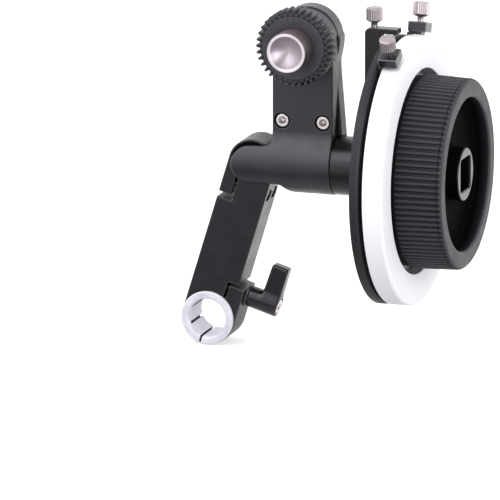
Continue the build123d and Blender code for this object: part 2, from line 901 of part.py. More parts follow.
with BuildPart() as gear_shaft:
    spindle_end = -gear_front - 0.4
    shaft_tail = tail_bearing_width + tail_bearing_start - 0.2
    turn(
        [
            (-shaft_tail, 0),
            (-shaft_tail, small_shaft_radius),
            (front_bearing + small_bearing_width + 0.1, small_shaft_radius),
            (front_bearing + small_bearing_width + 0.1, gear_neck_radius),
            (front_boss_face + gear_gap, gear_neck_radius),
            (front_boss_face + gear_gap, gear_flange_radius),
            (-gear_rear, gear_flange_radius),
            (-gear_rear, gear_spindle_radius),
            (spindle_end, gear_spindle_radius),
            (spindle_end, gear_thread_radius),
            (-gear_front + gear_thread_length, gear_thread_radius),
            (-gear_front + gear_thread_length, 0),
        ],
        gear_centre,
        y_way * -1,
    )

# Drive gear and thumb nut
pitch_radius = gear_teeth * gear_module / 2
tip_radius = pitch_radius + gear_module
root_radius = pitch_radius - 1.2 * gear_module
tooth_pitch = pi * gear_module
with BuildSketch() as gear_tooth:
    with BuildLine():
        Polyline(
            (root_radius - 0.5, -0.36 * tooth_pitch),
            (root_radius, -0.36 * tooth_pitch),
            (pitch_radius, -0.25 * tooth_pitch),
            (tip_radius - 0.15, -0.13 * tooth_pitch),
            (tip_radius, -0.06 * tooth_pitch),
            (tip_radius, 0.06 * tooth_pitch),
            (tip_radius - 0.15, 0.13 * tooth_pitch),
            (pitch_radius, 0.25 * tooth_pitch),
            (root_radius, 0.36 * tooth_pitch),
            (root_radius - 0.5, 0.36 * tooth_pitch),
            close=True,
        )
    make_face()

with BuildPart() as drive_gear:
    with BuildSketch(Plane(origin=gear_centre + y_way * gear_rear, x_dir=(1, 0, 0), z_dir=(0, -1, 0))):
        Circle(root_radius)
        with PolarLocations(0, gear_teeth):
            add(gear_tooth.sketch)
    extrude(amount=gear_rim_width)
    rod(
        gear_centre + y_way * (gear_rear - gear_rim_width),
        y_way * -1,
        gear_face_radius,
        gear_face_step,
    )
    rod(gear_centre, y_way * -1, gear_spindle_radius, -2 * gear_front, Mode.SUBTRACT)

with BuildPart() as gear_nut:
    nut_back = gear_centre + y_way * (gear_front - 0.05)
    with BuildSketch(Plane(origin=nut_back, x_dir=(1, 0, 0), z_dir=(0, -1, 0))):
        Circle(nut_radius)
        with PolarLocations(nut_radius, nut_flutes):
            Circle(nut_flute_depth, mode=Mode.SUBTRACT)
    extrude(amount=nut_length)
    turn(
        [(nut_length - nut_cone_depth, 0), (nut_length + 0.1, nut_cone_radius), (nut_length + 0.1, 0)],
        nut_back,
        y_way * -1,
        Mode.SUBTRACT,
    )
    rod(nut_back, y_way * -1, gear_thread_radius + running_gap, gear_thread_length + 0.5, Mode.SUBTRACT)

# Hand wheel, its hub and the carrier plate behind it
wheel_foot = Vector(0, 0, wheel_z)
groove_pitch = 2 * pi / wheel_grooves
with BuildPart() as hand_wheel:
    with BuildSketch(Plane(origin=(wheel_rear, 0, wheel_z), x_dir=(0, 1, 0), z_dir=(1, 0, 0))):
        crest = wheel_rear_radius
        trough = wheel_rear_radius - wheel_groove_depth
        with BuildLine():
            Polyline(
                *[
                    (radius * cos((step + part) * groove_pitch), radius * sin((step + part) * groove_pitch))
                    for step in range(wheel_grooves)
                    for part, radius in ((-0.30, crest), (0.30, crest), (0.42, trough), (0.58, trough))
                ],
                close=True,
            )
        make_face()
    extrude(amount=wheel_length)
    turn(
        [
            (wheel_rear, 0),
            (wheel_rear, wheel_rear_radius),
            *[
                (
                    wheel_front - wheel_corner * (1 - sin(radians(turned))),
                    wheel_front_radius - wheel_corner * (1 - cos(radians(turned))),
                )
                for turned in (0, 20, 40, 60, 80, 90)
            ],
            (wheel_front, 0),
        ],
        wheel_foot,
        x_way,
        Mode.INTERSECT,
    )
    turn(
        [
            (carrier_front, 0),
            (carrier_front, wheel_neck_radius),
            (wheel_rear, wheel_neck_radius),
            (wheel_rear, 0),
        ],
        wheel_foot,
        x_way,
    )
    turn(
        [
            (dish_floor, 0),
            (dish_floor, dish_radius - dish_fillet),
            (dish_floor + dish_fillet, dish_radius),
            *[
                (
                    wheel_front - dish_corner * (1 - sin(radians(turned))),
                    dish_radius + dish_corner * (1 - cos(radians(turned))),
                )
                for turned in (0, 15, 30, 45, 60, 75, 90)
            ],
            (wheel_front + wheel_corner, dish_radius + dish_corner),
            (wheel_front + wheel_corner, 0),
        ],
        wheel_foot,
        x_way,
        Mode.SUBTRACT,
    )
    pocket_front = dish_floor - wheel_wall
    turn(
        [
            (carrier_front - 1, hub_radius + wheel_wall),
            (carrier_front - 1, carrier_screw_ring - 2.2),
            (pocket_front, carrier_screw_ring - 2.2),
            (pocket_front, hub_radius + wheel_wall),
        ],
        wheel_foot,
        x_way,
        Mode.SUBTRACT,
    )
    rod(wheel_foot, x_way, hub_radius, 2 * wheel_front, Mode.SUBTRACT)
    for place in ring_places(carrier_screw_count, carrier_screw_ring):
        tapped = plate_screw_depth + plate_screw_head_length - carrier_thickness + 0.2
        screw_at = wheel_foot + x_way * carrier_front + place
        rod(screw_at, x_way, plate_screw_radius + seat_gap, tapped, Mode.SUBTRACT)

with BuildPart() as wheel_hub:
    shaft_tip = head_x + shaft_end
    turn(
        [
            (carrier_front, wheel_shaft_radius),
            (carrier_front, hub_radius),
            (hub_front - 0.6, hub_radius),
            (hub_front, hub_radius - 0.6),
            (hub_front, 0),
            (shaft_tip, 0),
            (shaft_tip, wheel_shaft_radius),
        ],
        wheel_foot,
        x_way,
    )
    with BuildSketch(Plane(origin=(hub_front, 0, wheel_z), x_dir=(0, 1, 0), z_dir=(1, 0, 0))):
        Rectangle(socket_size, socket_size)
    extrude(amount=-socket_depth, mode=Mode.SUBTRACT)
    rod(
        Vector(socket_floor - hub_screw_head_length - hub_screw_sunk, 0, wheel_z),
        x_way,
        hub_screw_head_radius + seat_gap,
        socket_depth,
        Mode.SUBTRACT,
    )
    screw_way = socket_depth + shaft_short
    rod(Vector(shaft_tip - 1, 0, wheel_z), x_way, hub_screw_radius + seat_gap, screw_way, Mode.SUBTRACT)

with BuildPart() as hub_screw:
    screw_length = socket_floor - hub_screw_sunk - hub_screw_head_length - shaft_tip + hub_screw_hold
    cap_screw(
        Vector(socket_floor - hub_screw_sunk, 0, wheel_z),
        x_way * -1,
        hub_screw_head_radius,
        hub_screw_head_length,
        hub_screw_radius,
        screw_length,
    )

with BuildPart() as wheel_carrier:
    turn(
        [
            (carrier_rear, wheel_shaft_radius),
            (carrier_rear, carrier_radius - 0.4),
            (carrier_rear + 0.4, carrier_radius),
            (carrier_front, carrier_radius),
            (carrier_front, wheel_shaft_radius),
        ],
        wheel_foot,
        x_way,
    )
    for place in ring_places(carrier_screw_count, carrier_screw_ring):
        screw_at = wheel_foot + x_way * carrier_rear + place
        rod(screw_at, x_way, plate_screw_radius + seat_gap, carrier_thickness, Mode.SUBTRACT)
        rod(screw_at, x_way, plate_screw_head + seat_gap, plate_screw_head_length, Mode.SUBTRACT)
    for place in ring_places(magnet_count, magnet_ring, 180 / magnet_count):
        magnet_at = wheel_foot + x_way * carrier_front + place
        rod(magnet_at, x_way * -1, magnet_radius, magnet_length, Mode.SUBTRACT)

with BuildPart() as carrier_screws:
    for place in ring_places(carrier_screw_count, carrier_screw_ring):
        cap_screw(
            wheel_foot + x_way * carrier_rear + place,
            x_way,
            plate_screw_head,
            plate_screw_head_length,
            plate_screw_radius,
            plate_screw_depth,
        )

with BuildPart() as carrier_magnets:
    for place in ring_places(magnet_count, magnet_ring, 180 / magnet_count):
        rod(wheel_foot + x_way * carrier_front + place, x_way * -1, magnet_radius, magnet_length)

# Marking disc and the steel slugs that the magnets hold
disc_seat = carrier_front + free_gap
with BuildPart() as marking_disc:
    turn(
        [
            (disc_rear, carrier_radius + free_gap),
            (disc_rear, disc_groove_inner),
            (disc_rear + disc_groove_depth, disc_groove_inner),
            (disc_rear + disc_groove_depth, disc_groove_outer),
            (disc_rear, disc_groove_outer),
            (disc_rear, disc_radius),
            (disc_front - disc_edge, disc_radius),
            (disc_front - 0.35 * disc_edge, disc_radius - 0.35 * disc_edge),
            (disc_front, disc_radius - disc_edge),
            (disc_front, disc_bore_radius),
            (disc_seat, disc_bore_radius),
            (disc_seat, carrier_radius + free_gap),
        ],
        wheel_foot,
        x_way,
    )
    for place in ring_places(magnet_count, magnet_ring, 180 / magnet_count):
        rod(wheel_foot + x_way * disc_seat + place, x_way, magnet_radius, slug_length, Mode.SUBTRACT)

with BuildPart() as disc_slugs:
    for place in ring_places(magnet_count, magnet_ring, 180 / magnet_count):
        rod(wheel_foot + x_way * disc_seat + place, x_way, magnet_radius, slug_length)

# Index plate and the bracket that carries the finger
with BuildPart() as index_plate:
    turn(
        [
            (collar_end, index_plate_bore),
            (collar_end, index_plate_radius),
            (index_front - index_plate_chamfer, index_plate_radius),
            (index_front, index_plate_radius - index_plate_chamfer),
            (index_front, index_plate_bore),
        ],
        wheel_foot,
        x_way,
    )
    for place in ring_places(4, plate_screw_ring, 45):
        screw_at = wheel_foot + x_way * index_front + place
        rod(screw_at, x_way * -1, plate_screw_radius + seat_gap, index_plate_thickness, Mode.SUBTRACT)
        rod(screw_at, x_way * -1, plate_screw_head + seat_gap, plate_screw_head_length, Mode.SUBTRACT)

with BuildPart() as plate_screws:
    for place in ring_places(4, plate_screw_ring, 45):
        cap_screw(
            wheel_foot + x_way * index_front + place,
            x_way * -1,
            plate_screw_head,
            plate_screw_head_length,
            plate_screw_radius,
            plate_screw_depth,
        )

bracket_x = barrel_end + bracket_middle
post_left = bracket_x - bracket_width / 2
post_right = bracket_x + bracket_width / 2
finger_top = finger_underside + finger_thickness
finger_end = disc_rear - 1.1
with BuildPart() as index_bracket:
    rod(Vector(post_left, 0, wheel_z), x_way, bracket_ring_radius, bracket_width)
    with BuildSketch(side_plane):
        with BuildLine():
            Polyline(
                (post_left, 0),
                (post_left, finger_top),
                (finger_end, finger_top),
                (finger_end, finger_underside),
                (post_right, finger_underside),
                (post_right, 0),
                close=True,
            )
        make_face()
    extrude(amount=bracket_depth / 2, both=True)
    corner_edge = index_bracket.edges().filter_by(Axis.Y).group_by(Axis.Z)[-1].sort_by(Axis.X)[0]
    fillet(corner_edge, bracket_corner)
    # block for the pinch screw, under the ring
    block_foot = Vector(bracket_x, 0, wheel_z - bracket_ring_radius - bracket_block_drop)
    with BuildSketch(Plane(origin=block_foot, x_dir=(1, 0, 0), z_dir=(0, 0, 1))):
        Rectangle(bracket_width, bracket_block_width)
    extrude(amount=bracket_ring_radius - collar_radius + bracket_block_drop)
    rod(Vector(post_left, 0, wheel_z), x_way, collar_radius, bracket_width, Mode.SUBTRACT)
    with BuildSketch(Plane(origin=block_foot, x_dir=(1, 0, 0), z_dir=(0, 0, 1))):
        Rectangle(bracket_width + 1, bracket_slit)
    extrude(amount=bracket_ring_radius, mode=Mode.SUBTRACT)
    bracket_screw_at = Vector(bracket_x, -bracket_block_width / 2, wheel_z - bracket_ring_radius - 0.4)
    bracket_screw_length = bracket_block_width - plate_screw_head_length - 1.4
    screw_hole(
        bracket_screw_at,
        y_way,
        plate_screw_head,
        plate_screw_head_length,
        plate_screw_radius,
        bracket_screw_length,
    )
    index_top = Vector(bracket_x, 0, wheel_z + finger_top)
    index_screw_depth = 7.5
    rod(
        index_top + z_way,
        z_way * -1,
        thumb_shank_radius + running_gap,
        index_screw_depth + 1.5,
        Mode.SUBTRACT,
    )

with BuildPart() as bracket_screw:
    cap_screw(
        bracket_screw_at,
        y_way,
        plate_screw_head,
        plate_screw_head_length,
        plate_screw_radius,
        bracket_screw_length,
    )

with BuildPart() as index_screw:
    thumb_screw(index_top, z_way, index_screw_depth)


# Markers: a block over the rim, a foot that passes under the finger, and a toe in the disc's rear groove
def marker_block(angle):
    """One marker, its middle plane turned by angle about the wheel axis."""
    out = toward(angle)
    plane = Plane(origin=wheel_foot, x_dir=x_way, z_dir=x_way.cross(out))
    block_start = finger_end + free_gap
    tongue_start = disc_rear - 1.4
    foot_end = block_start + marker_foot_length
    with BuildPart() as block:
        with BuildSketch(plane):
            with Locations((block_start + marker_length / 2, (marker_underside + marker_top) / 2)):
                Rectangle(marker_length, marker_top - marker_underside)
        extrude(amount=marker_width / 2, both=True)
        with BuildSketch(plane):
            with BuildLine():
                Polyline(
                    (tongue_start, marker_toe_inner),
                    (tongue_start, finger_underside - 0.4),
                    (block_start, finger_underside - 0.4),
                    (block_start, marker_underside),
                    (foot_end, marker_underside),
                    (foot_end, disc_radius + free_gap),
                    (tongue_start + marker_tongue, disc_radius + free_gap),
                    (tongue_start + marker_tongue, marker_toe_outer),
                    (tongue_start + marker_tongue + marker_toe_reach - 0.3, marker_toe_outer),
                    (tongue_start + marker_tongue + marker_toe_reach - 0.3, marker_toe_inner),
                    close=True,
                )
            make_face()
        extrude(amount=marker_foot_width / 2, both=True)
        screw_foot = wheel_foot + x_way * (block_start + marker_length / 2) + out * disc_radius
        rod(screw_foot, out, thumb_shank_radius + running_gap, 2 * marker_height, Mode.SUBTRACT)
    return block


def marker_screw(angle):
    """The thumb screw of the marker at that angle."""
    out = toward(angle)
    leaves = wheel_foot + x_way * (finger_end + free_gap + marker_length / 2) + out * marker_top
    with BuildPart() as screw:
        thumb_screw(leaves, out, marker_top - disc_radius - free_gap)
    return screw


marker_front = marker_block(marker_front_angle)
marker_rear = marker_block(marker_rear_angle)
marker_screw_front = marker_screw(marker_front_angle)
marker_screw_rear = marker_screw(marker_rear_angle)

pieces = {
    "swing_arm": swing_arm,
    "rod_bushing": rod_bushing,
    "pinch_screws": pinch_screws,
    "lever_washer": lever_washer,
    "lever_stud": lever_stud,
    "lever_insert": lever_insert,
    "lever_spring": lever_spring,
    "lever_screw": lever_screw,
    "lever_handle": lever_handle,
    "body_housing": body_housing,
    "rear_cover": rear_cover,
    "cover_screws": cover_screws,
    "pivot_pin": pivot_pin,
    "collar": collar,
    "wheel_bearings": wheel_bearings,
    "head_bearings": head_bearings,
    "gear_bearings": gear_bearings,
    "wheel_bevel": wheel_bevel,
    "lower_bevel": lower_bevel,
    "upper_bevel": upper_bevel,
    "output_bevel": output_bevel,
    "wheel_shaft": wheel_shaft,
    "head_shaft": head_shaft,
    "gear_shaft": gear_shaft,
    "drive_gear": drive_gear,
    "gear_nut": gear_nut,
    "hand_wheel": hand_wheel,
    "wheel_hub": wheel_hub,
    "hub_screw": hub_screw,
    "wheel_carrier": wheel_carrier,
    "carrier_screws": carrier_screws,
    "carrier_magnets": carrier_magnets,
    "marking_disc": marking_disc,
    "disc_slugs": disc_slugs,
    "index_plate": index_plate,
    "plate_screws": plate_screws,
    "index_bracket": index_bracket,
    "bracket_screw": bracket_screw,
    "index_screw": index_screw,
    "marker_front": marker_front,
    "marker_rear": marker_rear,
    "marker_screw_front": marker_screw_front,
    "marker_screw_rear": marker_screw_rear,
}

os.makedirs("parts", exist_ok=True)
for name, piece in pieces.items():
    piece.part.label = name
    export_step(piece.part, f"parts/{name}.step")
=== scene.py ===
"""Follow focus unit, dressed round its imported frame.

Every new piece is worked out with numpy in millimetres, in the frame's own axes, and is put into its mesh in
metres. X runs along the hand wheel's axis towards the wheel, Y along the support rod, Z up.
"""
import json

import bpy
import numpy as np
from bpy.props import FloatProperty, FloatVectorProperty, IntProperty, PointerProperty
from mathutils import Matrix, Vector


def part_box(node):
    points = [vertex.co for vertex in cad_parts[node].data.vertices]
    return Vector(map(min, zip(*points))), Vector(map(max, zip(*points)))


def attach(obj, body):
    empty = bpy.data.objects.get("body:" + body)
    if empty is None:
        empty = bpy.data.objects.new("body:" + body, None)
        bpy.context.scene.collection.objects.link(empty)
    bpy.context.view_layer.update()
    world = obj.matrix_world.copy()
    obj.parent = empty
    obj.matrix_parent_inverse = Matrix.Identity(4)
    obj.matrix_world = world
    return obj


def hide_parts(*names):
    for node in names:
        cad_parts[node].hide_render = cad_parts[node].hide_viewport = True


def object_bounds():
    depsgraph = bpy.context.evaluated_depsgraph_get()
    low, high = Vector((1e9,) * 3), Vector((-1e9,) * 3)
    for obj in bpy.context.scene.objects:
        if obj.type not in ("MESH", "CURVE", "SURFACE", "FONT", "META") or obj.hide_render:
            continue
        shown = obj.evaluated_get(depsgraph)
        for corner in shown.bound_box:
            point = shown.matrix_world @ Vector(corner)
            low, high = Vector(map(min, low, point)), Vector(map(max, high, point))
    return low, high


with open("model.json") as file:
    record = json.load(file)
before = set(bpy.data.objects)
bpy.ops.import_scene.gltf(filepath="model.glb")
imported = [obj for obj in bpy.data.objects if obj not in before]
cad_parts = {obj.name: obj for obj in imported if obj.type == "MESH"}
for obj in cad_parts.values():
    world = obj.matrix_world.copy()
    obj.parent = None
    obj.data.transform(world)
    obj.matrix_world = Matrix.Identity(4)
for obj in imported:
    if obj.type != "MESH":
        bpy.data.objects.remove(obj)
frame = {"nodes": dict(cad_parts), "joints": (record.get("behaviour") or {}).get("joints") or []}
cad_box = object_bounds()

bl_info = {
    "name": "Follow Focus Unit",
    "version": (1, 0, 0),
    "blender": (4, 5, 0),
    "location": "View3D > Sidebar > Follow Focus",
    "description": "Builds the pieces, finishes and stage of a follow focus unit round its packed frame",
    "category": "Object",
}

MM = 0.001


# ---------------------------------------------------------------- places taken from the frame

def joint_of(name):
    """The frame's joint of that name."""
    return next(joint for joint in frame["joints"] if joint["name"] == name)


def joint_place(name):
    """A point on a joint's axis, in millimetres."""
    return np.array(joint_of(name)["pos_m"]) / MM


def node_span(node, axis):
    """The lowest and highest coordinate of a CAD node along axis 0, 1 or 2, in millimetres."""
    low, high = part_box(node)
    return low[axis] / MM, high[axis] / MM


PIVOT = joint_place("head_swing")
WHEEL_Z = joint_place("wheel_turn")[2]
HEAD_X = joint_place("wheel_turn")[0]
GEAR_Z = joint_place("output_turn")[2]
GEAR_RISE = GEAR_Z - WHEEL_Z
ACROSS = np.array(joint_of("lever_turn")["axis"])
ALONG = np.array([-ACROSS[2], 0.0, ACROSS[0]])
LEVER_SEAT = joint_place("lever_turn")
X_WAY, Y_WAY, Z_WAY = np.eye(3)
ARM_AXES = [ACROSS, Y_WAY, ALONG]
WHEEL_CENTRE = np.array([0.0, 0.0, WHEEL_Z])
GEAR_CENTRE = np.array([HEAD_X, 0.0, GEAR_Z])


# ---------------------------------------------------------------- sizes that pieces share, in millimetres

ROD_RADIUS = 7.5
ARM_LEFT, ARM_RIGHT, ARM_HALF = 10.8, 8.1, 7.5
PINCH_ALONG, PINCH_ASIDE = 54.2, 3.3
COVER_SCREW_ASIDE, COVER_SCREW_UP = 8.25, 17.8
SHAFT_HOLE = 5.5
COLLAR_RADIUS = 11.5
HUB_RADIUS = 10.38
RIM_RADIUS = 52.3
DISC_REAR = node_span("marking_disc", 0)[0]
WHEEL_FRONT = node_span("hand_wheel", 0)[1]
NUT_RADIUS, NUT_BOWL = 7.88, 6.5


# ---------------------------------------------------------------- settings

def colour_setting(name, description, value):
    """A colour property with its default."""
    return FloatVectorProperty(
        name=name, description=description, subtype="COLOR", size=3, min=0.0, max=1.0, default=value
    )


def length_setting(name, description, value):
    """A length property in metres."""
    return FloatProperty(name=name, description=description, unit="LENGTH", precision=5, default=value)


def angle_setting(name, description, degrees):
    """An angle property, whose default is given in degrees."""
    return FloatProperty(name=name, description=description, subtype="ANGLE", default=np.radians(degrees))


def power_setting(name, description, watts):
    """A lamp's power property."""
    return FloatProperty(name=name, description=description, unit="POWER", min=0.0, default=watts)


def count_setting(name, description, value):
    """A number of like features round a piece."""
    return IntProperty(name=name, description=description, min=6, default=value)


class FocusFinishSettings(bpy.types.PropertyGroup):
    """Colours of the unit's finishes."""

    anodised: colour_setting("Anodised black", "Satin black of the body", (0.0088, 0.0082, 0.0102))
    arm: colour_setting("Arm black", "Satin black of the arm, lever and markers", (0.0042, 0.0039, 0.0050))
    # Painted shade laid on the floors and sides of the bushing's slots.
    slot: colour_setting("Slot dark", "Shaded grey in the bushing's slots", (0.030, 0.028, 0.032))
    gloss: colour_setting("Gloss black", "Polished black of the collar and the hub", (0.0016, 0.0014, 0.0017))
    polymer: colour_setting("Gear polymer", "Moulded black of the drive gear", (0.0280, 0.0265, 0.0310))
    wheel: colour_setting("Wheel black", "Matte black of the hand wheel", (0.0265, 0.0252, 0.0296))
    # Painted shade laid in the floors of the wheel's grooves and in the drive gear's hollows.
    groove: colour_setting("Groove shade", "Painted shade in the wheel's grooves and the gear's hollows", (0.0030, 0.0028, 0.0036))
    # The bracket's own black, also laid as painted shade deep in the wheel's dish and on the arm's end
    # between the ears.
    dish: colour_setting("Dish shade and bracket black", "Black of the bracket, and painted shade in the wheel's dish and on the arm's end", (0.0024, 0.0022, 0.0028))
    index: colour_setting("Index black", "Black of the index plate", (0.0110, 0.0105, 0.0125))
    disc: colour_setting("Disc white", "Matte white of the marking disc", (0.765, 0.755, 0.785))
    bushing: colour_setting("Bushing", "Light matte metal of the rod bushing", (0.57, 0.55, 0.62))
    bright: colour_setting("Bright metal", "Turned metal of the thumb nut's ring", (0.82, 0.77, 0.81))
    # The nut's metal, painted darker as shade in its bowl.
    bowl: colour_setting("Bowl shade", "Turned metal painted darker as shade in the thumb nut's bowl", (0.50, 0.45, 0.50))
    # The nut's metal, painted dark as shade on its knurled side.
    knurl: colour_setting("Knurl shade", "Nut metal painted dark as shade on its knurls", (0.16, 0.13, 0.14))
    thumb: colour_setting("Thumb screw metal", "Satin metal of the thumb screws", (0.43, 0.38, 0.40))
    carrier: colour_setting("Carrier metal", "Satin metal of the disc's carrier", (0.36, 0.34, 0.37))
    screw: colour_setting("Screw steel", "Steel of the cap screws", (0.74, 0.69, 0.69))
    shaft: colour_setting("Shaft steel", "Steel of the shafts and gears inside", (0.52, 0.52, 0.54))


class FocusSizeSettings(bpy.types.PropertyGroup):
    """Sizes of the details that the frame leaves open."""

    edge: length_setting("Edge rounding", "Radius of the body's and arm's machined edges", 0.45 * MM)
    grooves: count_setting("Wheel grooves", "Grooves round the hand wheel", 98)
    groove_depth: length_setting("Groove depth", "Depth of the hand wheel's grooves", 0.70 * MM)
    gear_teeth: count_setting("Gear teeth", "Teeth of the drive gear", 36)
    nut_flutes: count_setting("Nut knurls", "Knurls round the thumb nut", 72)
    thumb_flutes: count_setting("Thumb flutes", "Flutes of a thumb screw", 22)


class FocusStageSettings(bpy.types.PropertyGroup):
    """Camera, lamps and floor."""

    azimuth: angle_setting("Azimuth", "Camera's turn round the unit", 17.89)
    elevation: angle_setting("Elevation", "Camera's height angle", 13.44)
    distance: length_setting("Distance", "Camera to the unit", 4.0)
    field: length_setting("Field", "Width that the picture shows", 194.175 * MM)
    right: length_setting("Aim right", "Picture's middle, right of the aim point", -23.98 * MM)
    up: length_setting("Aim up", "Picture's middle, above the aim point", -30.98 * MM)
    floor: colour_setting("Floor", "Colour of the floor and backdrop", (0.56, 0.55, 0.57))
    overhead: power_setting("Overhead box", "Power of the box above", 7.4)
    low_box: power_setting("Low box", "Power of the low box in front", 1.6)
    left: power_setting("Left box", "Power of the box left of the camera", 1.5)
    right_box: power_setting("Right box", "Power of the box right of the camera", 9.4)
    world: FloatProperty(name="World", description="Strength of the even light", default=0.95, min=0.0)


# ---------------------------------------------------------------- shapes on a grid

def unit(vector):
    """The vector at length one."""
    vector = np.asarray(vector, float)
    return vector / np.linalg.norm(vector)


def sides_of(direction):
    """Two unit vectors square to a direction and to each other, right-handed with it."""
    direction = unit(direction)
    first = np.cross(direction, Y_WAY if abs(direction[1]) < 0.9 else X_WAY)
    first = unit(first)
    return first, np.cross(direction, first)


def eased(share):
    """A share from 0 to 1 with level ends: s^2 * (3 - 2 s)."""
    return share * share * (3 - 2 * share)


def grid_quads(rows, columns, wrap_rows=False):
    """Quads between neighbours of a grid of rows times columns points, whose columns close to a ring."""
    row = np.arange(rows if wrap_rows else rows - 1)
    i, j = np.meshgrid(row, np.arange(columns), indexing="ij")
    i2, j2 = (i + 1) % rows, (j + 1) % columns
    corners = (i * columns + j, i * columns + j2, i2 * columns + j2, i2 * columns + j)
    return np.stack(corners, axis=-1).reshape(-1, 4)


def softened(corners, steps=5, closed=True):
    """A profile with rounded corners.

    Each corner is (along, radius, rounding). It becomes the arc of that rounding that touches both of its
    sides, which meet the arc at rounding / tan(half the corner's angle) from the corner.
    """
    corners = np.asarray(corners, float)
    count = len(corners)
    rows = []
    for index, (along, radius, rounding) in enumerate(corners):
        here = np.array([along, radius])
        if rounding <= 0 or (not closed and index in (0, count - 1)):
            rows.append(here[None])
            continue
        back = unit(corners[index - 1, :2] - here)
        onward = unit(corners[(index + 1) % count, :2] - here)
        half = np.arccos(np.clip(back @ onward, -1, 1)) / 2
        middle = here + unit(back + onward) * rounding / np.sin(half)
        reach = rounding / np.tan(half)
        first = (here + back * reach - middle) / rounding
        last = (here + onward * reach - middle) / rounding
        sweep = np.pi - 2 * half
        share = np.linspace(0, 1, steps + 1)[:, None]
        arc = (np.sin((1 - share) * sweep) * first + np.sin(share * sweep) * last) / np.sin(sweep)
        rows.append(middle + arc * rounding)
    return np.concatenate(rows)


def lathe(profile, origin, direction, steps=160, closed=True, wave=None):
    """A turned solid: point = origin + along * direction + (radius + wave) * (cos t * side1 + sin t * side2).

    A closed profile makes a ring. An open one starts and ends on the axis, where its rings close to a pole.
    wave(along, radius, angle) gives the change of radius over the whole grid.
    """
    side1, side2 = sides_of(direction)
    angle = np.linspace(0, 2 * np.pi, steps, endpoint=False)[None, :]
    body = profile if closed else profile[1:-1]
    along, radius = body[:, :1], body[:, 1:]
    if wave is not None:
        radius = radius + wave(along, radius, angle)
    ring = np.cos(angle)[..., None] * side1 + np.sin(angle)[..., None] * side2
    radius = np.broadcast_to(radius, (len(body), steps))
    points = origin + along[..., None] * unit(direction) + radius[..., None] * ring
    points = points.reshape(-1, 3)
    quads = grid_quads(len(body), steps, wrap_rows=closed)
    triangles = np.zeros((0, 3), int)
    if not closed:
        poles = origin + profile[[0, -1], :1] * unit(direction)
        column = np.arange(steps)
        after = (column + 1) % steps
        first, last = len(points), len(points) + 1
        end = (len(body) - 1) * steps
        start_fan = np.stack([np.full(steps, first), after, column], axis=1)
        end_fan = np.stack([np.full(steps, last), end + column, end + after], axis=1)
        triangles = np.concatenate([start_fan, end_fan])
        points = np.concatenate([points, poles])
    return outward(points, quads, triangles)


def outward(points, quads, triangles=None):
    """Turns all faces round if the solid's signed volume, the sum of the face wedges, comes out negative."""
    triangles = np.zeros((0, 3), int) if triangles is None else triangles
    split = np.concatenate([quads[:, :3], quads[:, [0, 2, 3]], triangles])
    a, b, c = (points[split[:, k]] for k in range(3))
    if np.einsum("ij,ij->i", a, np.cross(b, c)).sum() < 0:
        quads, triangles = quads[:, ::-1], triangles[:, ::-1]
    return points, quads, triangles


# ---------------------------------------------------------------- shapes from a distance

def both(rounding, *parts):
    """Overlap of solids given by signed distances, its edges rounded.

    The largest distance, and near an edge the length of the distances grown by the rounding, less the
    rounding.
    """
    parts = np.broadcast_arrays(*parts)
    inner = np.minimum(np.maximum.reduce(parts), -rounding)
    return inner + np.sqrt(sum(np.square(np.maximum(part + rounding, 0)) for part in parts))


def either(rounding, *parts):
    """Union of solids given by signed distances, with a fillet of that radius in its inside corners."""
    return -both(rounding, *[-part for part in parts])


def overlap(*parts):
    """Overlap of solids given by signed distances, with sharp edges: the largest distance."""
    return np.maximum.reduce(np.broadcast_arrays(*parts))


def union(*parts):
    """Union of solids given by signed distances, with sharp inside corners: the smallest distance."""
    return np.minimum.reduce(np.broadcast_arrays(*parts))


def slab(value, low, high):
    """Signed distance to the layer between low and high."""
    return np.maximum(low - value, value - high)


def disc(a, b, radius):
    """Signed distance to a round bar seen along its axis."""
    return np.hypot(a, b) - radius


def carve(distance, low, high, cell, origin=(0, 0, 0), axes=np.eye(3)):
    """The skin of the solid where distance(x, y, z) is below zero.

    The distance is sampled on a cubic grid. Each cell that the skin crosses gets one point, the mean of the
    places where its grid edges change sign, and each crossed edge gets the quad of its four cells. The points
    then step down the distance's slope, p - d * g / |g|^2, until they lie on the skin, and the slope is their
    normal. The grid's own axes are turned to the given ones, and its zero is put on the origin.
    """
    low = np.asarray(low, float) - 1.5 * cell
    counts = np.ceil((np.asarray(high, float) + 1.5 * cell - low) / cell).astype(int) + 1
    x, y, z = (low[k] + cell * np.arange(counts[k]) for k in range(3))
    field = np.broadcast_to(distance(x[:, None, None], y[None, :, None], z[None, None, :]), counts)
    quads, places = crossed_edges(field, counts - 1, low, cell)
    _, index = np.unique(quads.ravel(), return_inverse=True)
    index = index.reshape(quads.shape)
    total = np.stack([np.bincount(index.ravel(), np.repeat(places[:, k], 4)) for k in range(3)], axis=1)
    points = total / np.bincount(index.ravel())[:, None]
    for _ in range(4):
        slope = slope_of(distance, points, 0.02 * cell)
        move = (distance(*points.T) / np.maximum((slope**2).sum(1), 0.2))[:, None] * slope
        limit = np.maximum(np.linalg.norm(move, axis=1, keepdims=True) / (0.4 * cell), 1)
        points = points - move / limit
    normals = slope_of(distance, points, 0.12 * cell)
    normals /= np.maximum(np.linalg.norm(normals, axis=1, keepdims=True), 1e-9)
    axes = np.asarray(axes)
    points, index, _ = outward(np.asarray(origin) + points @ axes, index)
    return points, index, np.zeros((0, 3), int), normals @ axes


